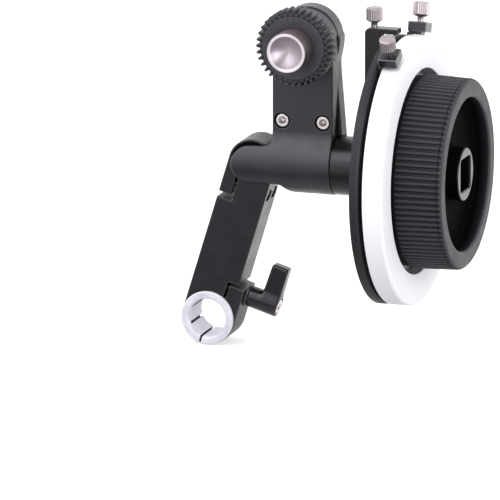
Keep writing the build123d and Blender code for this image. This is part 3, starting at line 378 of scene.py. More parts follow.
def crossed_edges(field, cells, low, cell):
    """Each grid edge on which the field changes sign: the numbers of its four cells, and the zero's place.

    The zero lies at the share d0 / (d0 - d1) of the edge. The cells run one way round where d0 is inside and
    the other way where it is outside.
    """
    inside = field < 0
    step_of = np.array([cells[1] * cells[2], cells[2], 1])
    quads, places = [], []
    for axis in range(3):
        second, third = step_of[(axis + 1) % 3], step_of[(axis + 2) % 3]
        lower = tuple(slice(0, -1) if k == axis else slice(None) for k in range(3))
        upper = tuple(slice(1, None) if k == axis else slice(None) for k in range(3))
        spot = np.argwhere(inside[lower] != inside[upper])
        here = field[lower][tuple(spot.T)]
        place = spot.astype(float)
        place[:, axis] += here / (here - field[upper][tuple(spot.T)])
        number = spot @ step_of
        quad = np.stack([number, number - second, number - second - third, number - third], axis=1)
        quad[here > 0] = quad[here > 0][:, ::-1]
        quads.append(quad)
        places.append(low + cell * place)
    return np.concatenate(quads), np.concatenate(places)


def slope_of(distance, points, small):
    """The distance's slope at the points, from its change over a small step each way."""
    slope = np.empty_like(points)
    for axis in range(3):
        nudge = np.zeros(3)
        nudge[axis] = small
        slope[:, axis] = (distance(*(points + nudge).T) - distance(*(points - nudge).T)) / (2 * small)
    return slope


# ---------------------------------------------------------------- meshes

def face_normals(points, faces):
    """Each face's normal times its area: the cross product of a quad's diagonals or a triangle's sides."""
    if faces.shape[1] == 4:
        return np.cross(points[faces[:, 2]] - points[faces[:, 0]], points[faces[:, 3]] - points[faces[:, 1]])
    return np.cross(points[faces[:, 1]] - points[faces[:, 0]], points[faces[:, 2]] - points[faces[:, 0]])


def point_normals(points, quads, triangles):
    """Point normals: the sum of the faces' normals times their areas, so that flats stay flat."""
    normals = np.zeros_like(points)
    for faces in (quads, triangles):
        values = face_normals(points, faces)
        for corner in range(faces.shape[1]):
            for axis in range(3):
                normals[:, axis] += np.bincount(faces[:, corner], values[:, axis], minlength=len(points))
    return normals / np.maximum(np.linalg.norm(normals, axis=1, keepdims=True), 1e-12)


def skin_bend(points, normals, quads):
    """How convex the skin is at a point, per mm: the mean of (normal step . step) / step^2 over its edges."""
    ends = np.concatenate([quads[:, [0, 1]], quads[:, [1, 2]], quads[:, [2, 3]], quads[:, [3, 0]]])
    step = points[ends[:, 1]] - points[ends[:, 0]]
    spread = np.einsum("ij,ij->i", normals[ends[:, 1]] - normals[ends[:, 0]], step)
    bend = spread / np.maximum((step**2).sum(1), 1e-6)
    total = np.bincount(ends.ravel(), np.repeat(bend, 2), minlength=len(points))
    return total / np.maximum(np.bincount(ends.ravel(), minlength=len(points)), 1)


def add_piece(name, solids, finish, body, nodes, second=None, where=None):
    """Joins solids into one smooth-shaded object at the origin, and hangs it on its body in its nodes' place.

    Faces whose middle is where(x, y, z) take the second finish. A solid is its points, quads and triangles,
    and its normals where they are known.
    """
    points, quads, triangles, normals, start = [], [], [], [], 0
    for solid in solids:
        skin, four, three = solid[:3]
        points.append(skin)
        quads.append(four + start)
        triangles.append(three + start)
        normals.append(solid[3] if len(solid) > 3 else point_normals(skin, four, three))
        start += len(skin)
    points, quads, triangles, normals = (np.concatenate(part) for part in (points, quads, triangles, normals))
    mesh = bpy.data.meshes.new(name)
    mesh.vertices.add(len(points))
    mesh.vertices.foreach_set("co", (points * MM).astype(np.float32).ravel())
    corners = np.concatenate([quads.ravel(), triangles.ravel()]).astype(np.int32)
    sizes = np.concatenate([np.full(len(quads), 4), np.full(len(triangles), 3)])
    mesh.loops.add(len(corners))
    mesh.loops.foreach_set("vertex_index", corners)
    mesh.polygons.add(len(sizes))
    mesh.polygons.foreach_set("loop_start", (np.cumsum(sizes) - sizes).astype(np.int32))
    mesh.polygons.foreach_set("use_smooth", np.ones(len(sizes), bool))
    mesh.update(calc_edges=True)
    mesh.normals_split_custom_set_from_vertices(normals.astype(np.float32))
    # The skin's bend, which the finishes read for wear, for painted highlights on edges and for painted shade
    # in hollows and grooves.
    wear_and_highlight = mesh.attributes.new("skin_bend", "FLOAT", "POINT")
    wear_and_highlight.data.foreach_set("value", skin_bend(points, normals, quads).astype(np.float32))
    mesh.materials.append(finishes()[finish])
    if second is not None:
        mesh.materials.append(finishes()[second])
        middles = np.concatenate([points[quads].mean(1), points[triangles].mean(1)])
        mesh.polygons.foreach_set("material_index", where(*middles.T).astype(np.int32))
    piece = bpy.data.objects.new(name, mesh)
    bpy.context.scene.collection.objects.link(piece)
    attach(piece, body)
    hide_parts(*nodes)
    return piece


# ---------------------------------------------------------------- node trees

class Tree:
    """A node tree in the making. Every method that makes a node gives back its output."""

    def __init__(self, tree):
        self.nodes, self.links = tree.nodes, tree.links

    def put(self, socket, value):
        """Links another node's output to a socket, or gives the socket a constant."""
        if isinstance(value, bpy.types.NodeSocket):
            self.links.new(value, socket)
        else:
            socket.default_value = value

    def output(self, kind, name):
        """A new input node's output of that name."""
        return self.nodes.new(f"ShaderNode{kind}").outputs[name]

    def maths(self, operation, *values):
        """A sum of that kind on numbers."""
        node = self.nodes.new("ShaderNodeMath")
        node.operation = operation
        for socket, value in zip(node.inputs, values):
            self.put(socket, value)
        return node.outputs[0]

    def vector_maths(self, operation, *values, output=0):
        """A sum of that kind on vectors."""
        node = self.nodes.new("ShaderNodeVectorMath")
        node.operation = operation
        for socket, value in zip(node.inputs, values):
            self.put(socket, value)
        return node.outputs[output]

    def ramp(self, value, low, high, out_low, out_high, easing="LINEAR"):
        """Maps a value's span onto another span, held at its ends."""
        node = self.nodes.new("ShaderNodeMapRange")
        node.interpolation_type = easing
        for name, number in zip(("From Min", "From Max", "To Min", "To Max"), (low, high, out_low, out_high)):
            node.inputs[name].default_value = number
        self.links.new(value, node.inputs["Value"])
        return node.outputs["Result"]


class Finish(Tree):
    """A material in the making: its Principled shader, and the nodes that feed it."""

    def __init__(self, name):
        self.material = bpy.data.materials.new(name)
        self.material.use_nodes = True
        super().__init__(self.material.node_tree)
        self.shader = self.nodes["Principled BSDF"]
        self.place = self.output("TexCoord", "Object")

    def set(self, name, value):
        """Feeds the shader's socket of that name."""
        self.put(self.shader.inputs[name], value)

    def gloss(self, ior, violet=True):
        """Sets by its index how strongly the skin mirrors, with the faint violet cast of the blacks."""
        self.set("IOR", ior)
        if violet:
            self.set("Specular Tint", (0.95, 0.91, 1.0, 1.0))

    def noise(self, scale, detail=3.0):
        """A noise on the piece's own coordinates, in features per metre."""
        node = self.nodes.new("ShaderNodeTexNoise")
        node.inputs["Scale"].default_value = scale
        node.inputs["Detail"].default_value = detail
        node.inputs["Roughness"].default_value = 0.55
        self.links.new(self.place, node.inputs["Vector"])
        return node.outputs["Fac"]

    def blend(self, share, first, second):
        """Mixes two colours by a share, each a constant or another node's output."""
        node = self.nodes.new("ShaderNodeMix")
        node.data_type = "RGBA"
        sockets = [socket for socket in node.inputs if socket.type == "RGBA"]
        for socket, colour in zip(sockets, (first, second)):
            self.put(socket, colour if isinstance(colour, bpy.types.NodeSocket) else (*colour, 1.0))
        self.links.new(share, node.inputs["Factor"])
        return next(socket for socket in node.outputs if socket.type == "RGBA")

    def wear_and_light_share(self, low, high, amount=1.0):
        """Share from the mesh's bend attribute, the skin's bend per millimetre: rubbed wear and painted
        highlight on edges, and painted shade in hollows and grooves.
        """
        node = self.nodes.new("ShaderNodeAttribute")
        node.attribute_name = "skin_bend"
        return self.ramp(node.outputs["Fac"], low, high, 0.0, amount)

    def rough(self, cloud, low, high):
        """Lets the roughness drift between two values with a cloudy noise."""
        self.set("Roughness", self.ramp(cloud, 0.3, 0.7, low, high))

    def grain(self, height, strength, depth):
        """Bumps the skin by a height whose full step is depth, in millimetres."""
        node = self.nodes.new("ShaderNodeBump")
        node.inputs["Strength"].default_value = strength
        node.inputs["Distance"].default_value = depth * MM
        self.links.new(height, node.inputs["Height"])
        self.set("Normal", node.outputs["Normal"])

    def from_axis(self, centre, across):
        """Distance in metres from the axis through centre: the length of (place - centre) * across."""
        moved = self.vector_maths("SUBTRACT", self.place, [value * MM for value in centre])
        flat = self.vector_maths("MULTIPLY", moved, across)
        return self.vector_maths("LENGTH", flat, output="Value")


def scaled(colour, gain, lift=0.0):
    """The colour with each channel times gain plus lift, one at most."""
    return tuple(min(1.0, channel * gain + lift) for channel in colour)


# ---------------------------------------------------------------- finishes

def blasted_metal(
    name, colour, rough=(0.34, 0.46), metallic=0.0, edge=(0.12, 0.12, 0.13), wear_and_highlight=0.5, grain=0.6, ior=1.6
):
    """Bead-blasted anodised metal: a fine grain, faint cloudy tone and lighter edges, partly rubbed wear and
    partly a painted highlight.
    """
    finish = Finish(name)
    cloud = finish.noise(120.0, 4.0)
    skin = finish.blend(finish.ramp(cloud, 0.35, 0.65, 0.0, 1.0), colour, scaled(colour, 1.25, 0.002))
    # Edges lighter by their bend: partly rubbed wear, partly a painted highlight.
    finish.set("Base Color", finish.blend(finish.wear_and_light_share(0.25, 1.6, wear_and_highlight), skin, edge))
    finish.rough(cloud, *rough)
    finish.grain(finish.noise(5200.0, 2.0), grain, 0.02)
    finish.set("Metallic", metallic)
    finish.gloss(ior, violet=metallic == 0)


def gloss_black(name, colour, rough, ior):
    """Polished black anodise, with faint polishing clouds."""
    finish = Finish(name)
    cloud = finish.noise(90.0)
    finish.set("Base Color", finish.blend(cloud, colour, scaled(colour, 1.6, 0.002)))
    finish.rough(cloud, *rough)
    finish.gloss(ior)


def moulded_black(name, colour, hollow_shade):
    """Moulded black: a grainy skin, lighter on its edges as wear and painted highlight, and darker in its
    hollows as painted shade.
    """
    finish = Finish(name)
    fine, cloud = finish.noise(2200.0), finish.noise(150.0)
    tone = finish.maths("ADD", finish.ramp(cloud, 0.3, 0.7, 0.0, 0.4), finish.wear_and_light_share(0.3, 2.0, 0.4))
    tone = finish.maths("ADD", tone, finish.ramp(fine, 0.35, 0.65, -0.9, 0.9))
    skin = finish.blend(tone, colour, scaled(colour, 1.6, 0.004))
    # Painted shade: the hollows are darkened towards the hollow colour.
    finish.set("Base Color", finish.blend(finish.wear_and_light_share(-0.05, -0.6), skin, hollow_shade))
    finish.rough(cloud, 0.50, 0.62)
    finish.grain(fine, 1.0, 0.03)
    finish.gloss(1.5)


def wheel_black(name, ridge, valley_shade, dish, ior):
    """Matte black of the wheel, with painted shade: the grooves' floors darker than their crests, and ever
    darker into the dish.

    The share of a groove's crest is read from the skin's bend attribute. The dish's painted shade grows with
    the depth behind the wheel's front, inside its front ring.
    """
    finish = Finish(name)
    cloud = finish.noise(150.0)
    # Painted shade: the groove floors take the valley colour, and the crests keep the wheel's black.
    grip = finish.blend(finish.wear_and_light_share(-0.45, 0.45), valley_shade, ridge)
    split = finish.nodes.new("ShaderNodeSeparateXYZ")
    finish.links.new(finish.place, split.inputs[0])
    # Painted shade: darker with depth into the dish, inside its front ring.
    inside = finish.ramp(finish.from_axis(WHEEL_CENTRE, (0, 1, 1)), 32.5 * MM, 31.5 * MM, 0.0, 1.0)
    depth = finish.ramp(split.outputs["X"], (WHEEL_FRONT - 0.8) * MM, (WHEEL_FRONT - 4.5) * MM, 0.0, 1.0)
    finish.set("Base Color", finish.blend(finish.maths("MULTIPLY", inside, depth), grip, dish))
    finish.rough(cloud, 0.5, 0.6)
    finish.grain(finish.noise(2600.0), 0.4, 0.03)
    finish.gloss(ior)


def deep_black_and_shade(name, colour, ior):
    """Deep black that gives back hardly any of the light that reaches it: the index plate's own black, and
    painted shade on the arm's end and in the bushing's slots.
    """
    finish = Finish(name)
    cloud = finish.noise(150.0)
    finish.set("Base Color", finish.blend(cloud, colour, scaled(colour, 1.4)))
    finish.rough(cloud, 0.5, 0.6)
    finish.grain(finish.noise(2600.0), 0.3, 0.02)
    finish.gloss(ior)


def bare_metal(name, colour, rough):
    """Bare turned or drawn metal with a fine grain."""
    finish = Finish(name)
    cloud = finish.noise(260.0)
    finish.set("Base Color", finish.blend(cloud, scaled(colour, 0.86), colour))
    finish.rough(cloud, *rough)
    finish.grain(finish.noise(4000.0, 2.0), 0.06, 0.01)
    finish.set("Metallic", 1.0)


def nut_metal(name, bowl, ring, side):
    """Turned thumb nut: coloured by the distance from its axis, the ring in the metal's own bright colour,
    the bowl and the knurled side painted darker as shade.

    Its highlights are drawn out round its axis, as on a face with fine tool rings.
    """
    finish = Finish(name)
    radius = finish.from_axis(GEAR_CENTRE, (1, 0, 1))
    on_ring = finish.ramp(radius, (NUT_BOWL - 0.2) * MM, (NUT_BOWL + 0.1) * MM, 0.0, 1.0)
    on_side = finish.ramp(radius, (NUT_RADIUS - 0.33) * MM, (NUT_RADIUS - 0.22) * MM, 0.0, 1.0)
    # The bowl and the knurled side take darker colours as painted shade; the ring keeps the metal's bright
    # colour.
    finish.set("Base Color", finish.blend(on_side, finish.blend(on_ring, bowl, ring), side))
    finish.rough(finish.noise(260.0), 0.46, 0.52)
    finish.set("Metallic", 1.0)
    finish.set("Anisotropic", 0.7)
    finish.set("Anisotropic Rotation", 0.25)
    turn = finish.nodes.new("ShaderNodeTangent")
    turn.direction_type = "RADIAL"
    turn.axis = "Y"
    finish.set("Tangent", turn.outputs["Tangent"])


def matte_white(name, colour):
    """White plastic that takes a marker pen: matte, with a faint moulding grain."""
    finish = Finish(name)
    cloud = finish.noise(60.0)
    finish.set("Base Color", finish.blend(cloud, scaled(colour, 0.975), colour))
    finish.rough(cloud, 0.52, 0.62)
    finish.grain(finish.noise(3000.0), 0.25, 0.01)


def finishes():
    """The unit's finishes by name, made once from the settings."""
    paint = bpy.context.scene.focus_finish
    if "anodised black" not in bpy.data.materials:
        blasted_metal("anodised black", paint.anodised)
        blasted_metal("arm black", paint.arm, wear_and_highlight=0.4, ior=1.5)
        # The markers' edges are painted much lighter, as a painted highlight along their chamfers.
        blasted_metal("marker black", paint.arm, rough=(0.24, 0.32), edge=(0.2, 0.2, 0.21), wear_and_highlight=0.7, ior=1.5)
        blasted_metal("lever black", paint.arm, rough=(0.20, 0.28), wear_and_highlight=0.25, grain=0.5, ior=1.5)
        # Painted shade on the arm's end between the ears.
        deep_black_and_shade("arm end painted shade", paint.dish, 1.1)
        # Painted shade in the bushing's slots.
        deep_black_and_shade("slot painted shade", paint.slot, 1.3)
        deep_black_and_shade("index black", paint.index, 1.42)
        gloss_black("bracket black", paint.dish, (0.22, 0.30), 1.42)
        gloss_black("hub black", paint.gloss, (0.14, 0.22), 1.34)
        gloss_black("collar black", paint.gloss, (0.26, 0.34), 1.5)
        # The wheel's grip, with painted shade in its grooves and deep in its dish.
        wheel_black("wheel black and painted shade", paint.wheel, paint.groove, paint.dish, 1.42)
        # The dish's faces: a dimmer finish carrying the same painted shade.
        wheel_black("dish painted shade", paint.wheel, paint.groove, paint.dish, 1.04)
        # The gear's hollows get painted shade.
        moulded_black("gear black and painted shade", paint.polymer, paint.groove)
        matte_white("disc white", paint.disc)
        # The bushing's edges are painted lighter: rubbed wear and a painted highlight on the flange's
        # rounding.
        blasted_metal("bushing metal", paint.bushing, (0.42, 0.5), 0.15, (0.9, 0.88, 0.93), wear_and_highlight=0.6)
        # The nut's bowl and knurled side are painted darker as shade.
        nut_metal("nut metal and painted shade", paint.bowl, paint.bright, paint.knurl)
        bare_metal("thumb metal", paint.thumb, (0.32, 0.40))
        bare_metal("screw steel", paint.screw, (0.18, 0.3))
        bare_metal("carrier metal", paint.carrier, (0.34, 0.44))
        bare_metal("shaft steel", paint.shaft, (0.2, 0.32))
    return bpy.data.materials


# ---------------------------------------------------------------- shared fittings

def cap_screw(face, direction, head_radius, head_length, socket_radius, socket_depth, steps=48):
    """A socket head screw: a turned head whose inner rings pass from a circle to a hexagon.

    radius = round radius * (1 - share) + hexagon radius * share, where the hexagon's radius at an angle t is
    1.06 * cos(30 deg) / cos(t folded into one side) of the round one.
    """
    crest = socket_radius * 1.22
    corners = [
        (head_length, 0, 0),
        (head_length, head_radius, 0),
        (0, head_radius, 0.22),
        (0, crest, 0.12),
        (0.16, socket_radius, 0),
        (socket_depth, socket_radius, 0),
        (socket_depth + 0.3, 0, 0),
    ]
    profile = softened(corners, steps=4, closed=False)

    def hexagon(along, radius, angle):
        fold = np.mod(angle, np.pi / 3) - np.pi / 6
        share = np.clip((crest - radius) / (crest - socket_radius), 0, 1) * (along < head_length - 0.01)
        return radius * share * (np.cos(np.pi / 6) / np.cos(fold) * 1.06 - 1)

    return lathe(profile, face, direction, steps, closed=False, wave=hexagon)


def thumb_screw(foot, direction, depth, flute_count):
    """A fluted thumb screw standing on foot: shank, neck and a head whose radius dips in flutes.

    The dip is the flutes' depth * (1 - crest), where crest = (1.35 * |cos(angle * flutes / 2)| - 0.35)^1.5,
    held above zero.
    """
    neck, stem, head, length, flute_depth = 1.3, 2.0, 3.16, 5.9, 0.26
    end = stem + length - 0.05
    corners = [
        (-depth, 0, 0),
        (-depth, neck, 0),
        (stem * 0.25, neck, 0),
        (stem, neck, 0),
        (stem, head - 1.2, 0.1),
        (stem + 0.85, head, 0.25),
        (end - 0.5, head, 0.25),
        (end, head - 0.75, 0.2),
        (end, 1.0, 0.1),
        (end - 0.2, 0, 0),
    ]
    profile = softened(corners, steps=4, closed=False)

    def flutes(along, radius, angle):
        crest = np.clip(1.35 * np.abs(np.cos(angle * flute_count / 2)) - 0.35, 0, 1) ** 1.5
        share = np.clip((radius - head + 0.9) / 0.8, 0, 1) * (along > stem)
        return -flute_depth * (1 - crest) * share

    return lathe(profile, foot, direction, 192, closed=False, wave=flutes)


# ---------------------------------------------------------------- operators

class FOCUS_OT_swing_arm(bpy.types.Operator):
    """Swing arm with its two split clamps"""

    bl_idname = "focus.swing_arm"
    bl_label = "Swing arm"

    def execute(self, context):
        edge = context.scene.focus_size.edge / MM
        middle, top = float(PIVOT @ ACROSS), float(PIVOT @ ALONG)
        end_radius = (ARM_LEFT + ARM_RIGHT) / 2
        bushing_hole, pivot_hole = 9.5, 5.05
        stud_hole, stud_along = 2.3, 12.0
        jaw_top, slit, slit_at = 15.3, 1.3, 4.0
        notch_at, notch_in, notch_half = 49.0, 5.5, 1.15
        split_from, split_to = -5.7, -4.7
        head_hole, head_depth, shank_hole, shank_end = 2.45, 3.1, 1.27, -6

        def distance(u, y, v):
            bar = overlap(slab(u, -ARM_LEFT, ARM_RIGHT), slab(v, 0, top))
            jaw = overlap(slab(u, 0, ARM_LEFT), slab(v, 0, jaw_top))
            outline = union(disc(u, v, ARM_LEFT), bar, jaw, disc(u - middle, v - top, end_radius))
            upright = overlap(slab(u, slit_at - slit / 2, slit_at + slit / 2), slab(v, 0, jaw_top + slit))
            level = overlap(slab(v, jaw_top, jaw_top + slit), slit_at - u)
            notch = union(
                overlap(slab(v, notch_at - notch_half, notch_at + notch_half), u + notch_in),
                disc(u + notch_in, v - notch_at, notch_half),
            )
            split = overlap(slab(u, split_from, split_to), slab(v, notch_at, top))
            solid = both(edge, outline, np.abs(y) - ARM_HALF)
            solid = both(0.25, solid, -union(upright, level, notch, split))
            bores = union(disc(u, v, bushing_hole), disc(u - middle, v - top, pivot_hole))
            aside, above = np.abs(y) - PINCH_ASIDE, v - PINCH_ALONG
            heads = overlap(disc(aside, above, head_hole), ARM_RIGHT - head_depth - u)
            pinch = overlap(union(heads, disc(aside, above, shank_hole)), shank_end - u)
            stud = overlap(disc(y, v - stud_along, stud_hole), slit_at - u)
            return both(0.15, solid, -union(bores, pinch, stud))

        def between_ears(x, y, z):
            """The pivot clamp's front face under the body's ears, painted near-black as the ears' shade."""
            return (y < -6.9) & (z > PIVOT[2] + 2.5) & (disc(x - PIVOT[0], z - PIVOT[2], 8.7) < 0)

        low, high = (-ARM_LEFT, -ARM_HALF, -ARM_LEFT), (ARM_LEFT, ARM_HALF, top + end_radius)
        solid = carve(distance, low, high, 0.31, axes=ARM_AXES)
        add_piece(
            "swing_arm_body", [solid], "arm black", "clamp_arm", ["swing_arm"],
            "arm end painted shade", between_ears,
        )
        return {"FINISHED"}


class FOCUS_OT_rod_bushing(bpy.types.Operator):
    """Slit bushing of the rod clamp"""

    bl_idname = "focus.rod_bushing"
    bl_label = "Rod bushing"

    def execute(self, context):
        sleeve_radius, flange_radius = 9.48, 10.6
        front, flange_rear, rear = -9.1, -7.52, ARM_HALF
        mouth_bevel = 0.75
        slots, slot_half, slot_floor, slot_start = 7, 0.5, 8.9, 1.9
        slit_half = 0.47

        def distance(u, y, v):
            radius = np.hypot(u, v)
            sleeve = overlap(slab(radius, ROD_RADIUS, sleeve_radius), slab(y, -8.2, rear))
            flange = both(0.45, slab(radius, ROD_RADIUS, flange_radius), slab(y, front, flange_rear))
            mouth = (ROD_RADIUS + mouth_bevel - radius - (y - front)) * 0.7071
            ring = both(0.15, union(sleeve, flange), mouth)
            fold = np.mod(np.arctan2(u, -v) + np.pi / slots, 2 * np.pi / slots) - np.pi / slots
            aside = np.abs(radius * np.sin(fold))
            slot = overlap(aside - slot_half, radius - slot_floor, front + slot_start - y)
            slit = overlap(np.abs(u) - slit_half, v)
            return both(0.12, ring, -union(slot, slit))

        def in_slots(x, y, z):
            """The floors and sides of the slots, behind the mouth, painted dark as shade."""
            return (slab(np.hypot(x, z), 7.65, 9.1) < 0) & (y > front + 1.0)

        low, high = (-flange_radius, front, -flange_radius), (flange_radius, rear, flange_radius)
        solid = carve(distance, low, high, 0.24, axes=ARM_AXES)
        add_piece(
            "rod_bushing_ring", [solid], "bushing metal", "clamp_arm", ["rod_bushing"],
            "slot painted shade", in_slots,
        )
        return {"FINISHED"}


class FOCUS_OT_pinch_screws(bpy.types.Operator):
    """Cap screws of the arm's pivot clamp"""

    bl_idname = "focus.pinch_screws"
    bl_label = "Pinch screws"

    def execute(self, context):
        sunk = 0.6
        head_radius, head_length, socket_radius, socket_depth = 2.1, 2.5, 1.1, 1.5
        shank_radius, shank_length = 1.2, 11
        middle = ACROSS * (ARM_RIGHT - sunk) + ALONG * PINCH_ALONG
        faces = [middle + Y_WAY * side * PINCH_ASIDE for side in (-1, 1)]
        head = head_radius, head_length, socket_radius, socket_depth
        heads = [cap_screw(face, -ACROSS, *head) for face in faces]
        corners = [(0, 0, 0), (0, shank_radius, 0), (shank_length, shank_radius, 0), (shank_length, 0, 0)]
        shank = softened(corners, closed=False)
        shanks = [lathe(shank, face - ACROSS * head_length, -ACROSS, 24, closed=False) for face in faces]
        add_piece(
            "pinch_screw_pair", heads + shanks, "screw steel", "clamp_arm", ["pinch_screws"]
        )
        return {"FINISHED"}


class FOCUS_OT_ratchet_lever(bpy.types.Operator):
    """Ratchet lever of the rod clamp, with its washer and end screw"""

    bl_idname = "focus.ratchet_lever"
    bl_label = "Ratchet lever"

    def execute(self, context):
        washer, washer_radius, washer_hole = 0.9, 4.6, 2.05
        start = LEVER_SEAT + ACROSS * washer
        hub, length = 4.2, 12.6
        reach, width, thick, lean, lean_from = 16.2, 7.4, 6.0, 0.035, 4.0
        core_hole, stud_hole, web_from, web_to = 3.15, 2.3, 2.7, 3.7

        def distance(u, y, v):
            barrel = both(0.5, disc(y, v, hub), slab(u, 0, length))
            taper = (v - lean_from) * lean
            sides = slab(u, length - width + taper, length), np.abs(y) - thick / 2 + taper
            wing = both(1.1, *sides, v - reach, -v)
            solid = both(0.4, either(1.8, barrel, wing), u - length, -u)
            web = overlap(slab(u, web_from, web_to), stud_hole - np.hypot(y, v))
            room = overlap(disc(y, v, core_hole), -web)
            return both(0.15, solid, -room)

        handle = carve(distance, (0, -hub, -hub), (length, hub, reach), 0.22, start, ARM_AXES)
        add_piece("lever_wing", [handle], "lever black", "lever", ["lever_handle"])
        corners = [
            (0, washer_hole, 0), (0, washer_radius, 0.2),
            (washer, washer_radius, 0.2), (washer, washer_hole, 0),
        ]
        ring = lathe(softened(corners, 4), LEVER_SEAT, ACROSS, 64)
        add_piece("lever_washer_ring", [ring], "anodised black", "clamp_arm", ["lever_washer"])
        screw = cap_screw(start + ACROSS * length, -ACROSS, 2.9, 1.4, 1.35, 0.9, 60)
        add_piece("lever_end_screw", [screw], "screw steel", "lever_core", ["lever_screw"])
        return {"FINISHED"}


class FOCUS_OT_body_housing(bpy.types.Operator):
    """Body: barrel, nose with two ears, and the plate of the gear head, as one machined piece"""

    bl_idname = "focus.body_housing"
    bl_label = "Body housing"

    def execute(self, context):
        edge = context.scene.focus_size.edge / MM
        barrel, nose, plate_half, plate_front = 11.7, 7.4, 12.2, 7.2
        boss_radius, boss_front = 8.5, -9.9
        px, end = PIVOT[0], node_span("body_housing", 0)[1]
        neck_start, neck_length = px + 10.8, 6.0
        collar_seat, collar_depth, pin_hole, output_hole = 9.9, 3.0, 5.0, 3.0
        screw_hole, screw_floor = 3.2, -4.3
        clear, ear = 9.8, 7.8
        swing_down, swing_up = joint_of("head_swing")["range_deg"]
        rest = np.degrees(np.arctan2(-ALONG[2], -ALONG[0]))
        rays = [np.array([np.cos(a), np.sin(a)]) for a in np.radians([rest + swing_up, rest + swing_down])]

        def swept_arm(dx, y, dz):
            """Room for the arm's end: a wedge between its two end directions, grown by the clearance.

            Outside the wedge the distance is that to the nearer of the two directions' half lines.
            """
            sides, to_rays = [], []
            for ray in rays:
                reach = np.maximum(ray[0] * dx + ray[1] * dz, 0)
                sides.append(ray[0] * dz - ray[1] * dx)
                to_rays.append(np.hypot(dx - reach * ray[0], dz - reach * ray[1]))
            wedge = overlap(sides[0], -sides[1])
            wedge = np.where(wedge < 0, wedge, union(*to_rays))
            return overlap(wedge - clear, np.abs(y) - ear)

        def outer(x, y, z):
            """Barrel and plate seen along the wheel's axis, cut to their side view, with the gear's boss."""
            circle = disc(y, z, barrel)
            end_view = union(circle, overlap(either(4.0, circle, overlap(slab(y, -plate_front, 0), -z)), y))
            share = np.clip((x - neck_start) / neck_length, 0, 1)
            slope = (barrel - nose) / neck_length * 6 * share * (1 - share)
            under = (-nose - (barrel - nose) * eased(share) - z) / np.sqrt(1 + slope**2)
            plate_side = union(
                overlap(slab(x, HEAD_X - plate_half, end + 9), z - GEAR_RISE),
                disc(x - HEAD_X, z - GEAR_RISE, plate_half),
            )
            over = either(2.5, z - nose, plate_side)
            left = union(disc(x - px, z, nose), px - x)
            body = both(edge, end_view, over, under, left, x - end)
            boss = both(0.3, disc(x - HEAD_X, z - GEAR_RISE, boss_radius), slab(y, boss_front, -1))
            return union(body, boss)

        def distance(x, y, z):
            dx, dz = x - HEAD_X, z - GEAR_RISE
            screw_holes = disc(np.abs(dx) - COVER_SCREW_ASIDE, z - COVER_SCREW_UP, screw_hole)
            cuts = union(
                swept_arm(x - px, y, z),
                overlap(disc(x - px, z, pin_hole), -10.2 - y),
                overlap(disc(y, z, collar_seat), -collar_depth - dx),
                overlap(disc(dx, y, SHAFT_HOLE), slab(z, 0, GEAR_RISE - 2)),
                overlap(disc(dx, dz, SHAFT_HOLE), slab(y, -6.4, 4)),
                overlap(disc(dx, dz, output_hole), slab(y, -20, 4)),
                overlap(screw_holes, slab(y, -20, screw_floor)),
            )
            return both(0.2, outer(x, y, z), -cuts)

        low, high = (px - nose, -barrel, -barrel), (end, barrel, GEAR_RISE + plate_half)
        solid = carve(distance, low, high, 0.36, WHEEL_CENTRE)
        add_piece("body_casting", [solid], "anodised black", "head", ["body_housing"])
        heads = [
            np.array([HEAD_X + side * COVER_SCREW_ASIDE, 0.3 - plate_front, WHEEL_Z + COVER_SCREW_UP])
            for side in (-1, 1)
        ]
        screws = [cap_screw(head, Y_WAY, 2.55, 2.6, 1.3, 1.6) for head in heads]
        add_piece("cover_screw_pair", screws, "screw steel", "head", ["cover_screws"])
        return {"FINISHED"}


class FOCUS_OT_rear_cover(bpy.types.Operator):
    """Rear half of the gear head"""

    bl_idname = "focus.rear_cover"
    bl_label = "Rear cover"

    def execute(self, context):
        top, waist, foot, back, lift = 12.4, 11.6, 14.1, 7.4, 0.5
        waist_at, foot_at = 38.0, 8.0
        barrel_seat, gear_seat, gear_back = 11.72, 3.4, 3.2

        def distance(x, y, z):
            dx, dz = np.abs(x - HEAD_X), z - GEAR_RISE
            lean = (foot - waist) / (waist_at - foot_at)
            flank = (dx - waist - np.maximum(waist_at - z, 0) * lean) / np.sqrt(1 + lean**2)
            outline = either(3.0, overlap(flank, dz, foot_at - z), disc(dx, dz - lift, top))
            solid = both(0.9, both(0.35, outline, -y), y - back)
            inner = union(
                disc(y, z, barrel_seat),
                overlap(disc(dx, y, SHAFT_HOLE), slab(z, 0, GEAR_RISE - 2)),
                overlap(disc(dx, dz, gear_seat), y - 4.3),
                overlap(disc(dx, dz, gear_back), y - 6.1),
                overlap(disc(dx, dz, SHAFT_HOLE), y - 4.0),
            )
            return both(0.15, solid, -inner)

        low, high = (HEAD_X - foot, 0, foot_at), (HEAD_X + foot, back, GEAR_RISE + lift + top)
        solid = carve(distance, low, high, 0.32, WHEEL_CENTRE)
        add_piece("rear_cover_shell", [solid], "anodised black", "head", ["rear_cover"])
        return {"FINISHED"}


class FOCUS_OT_collar(bpy.types.Operator):
    """Polished collar between the body and the index plate"""

    bl_idname = "focus.collar"
    bl_label = "Collar"

    def execute(self, context):
        low, high = node_span("collar", 0)
        face = node_span("body_housing", 0)[1] + 0.02
        bore, spigot = 8.0, 9.86
        corners = [
            (low, bore, 0), (low, spigot, 0), (face, spigot, 0), (face, COLLAR_RADIUS, 0.45),
            (high, COLLAR_RADIUS, 0), (high, bore, 0),
        ]
        ring = lathe(softened(corners, 5), WHEEL_CENTRE, X_WAY, 160)
        add_piece("collar_tube", [ring], "collar black", "head", ["collar"])
        return {"FINISHED"}


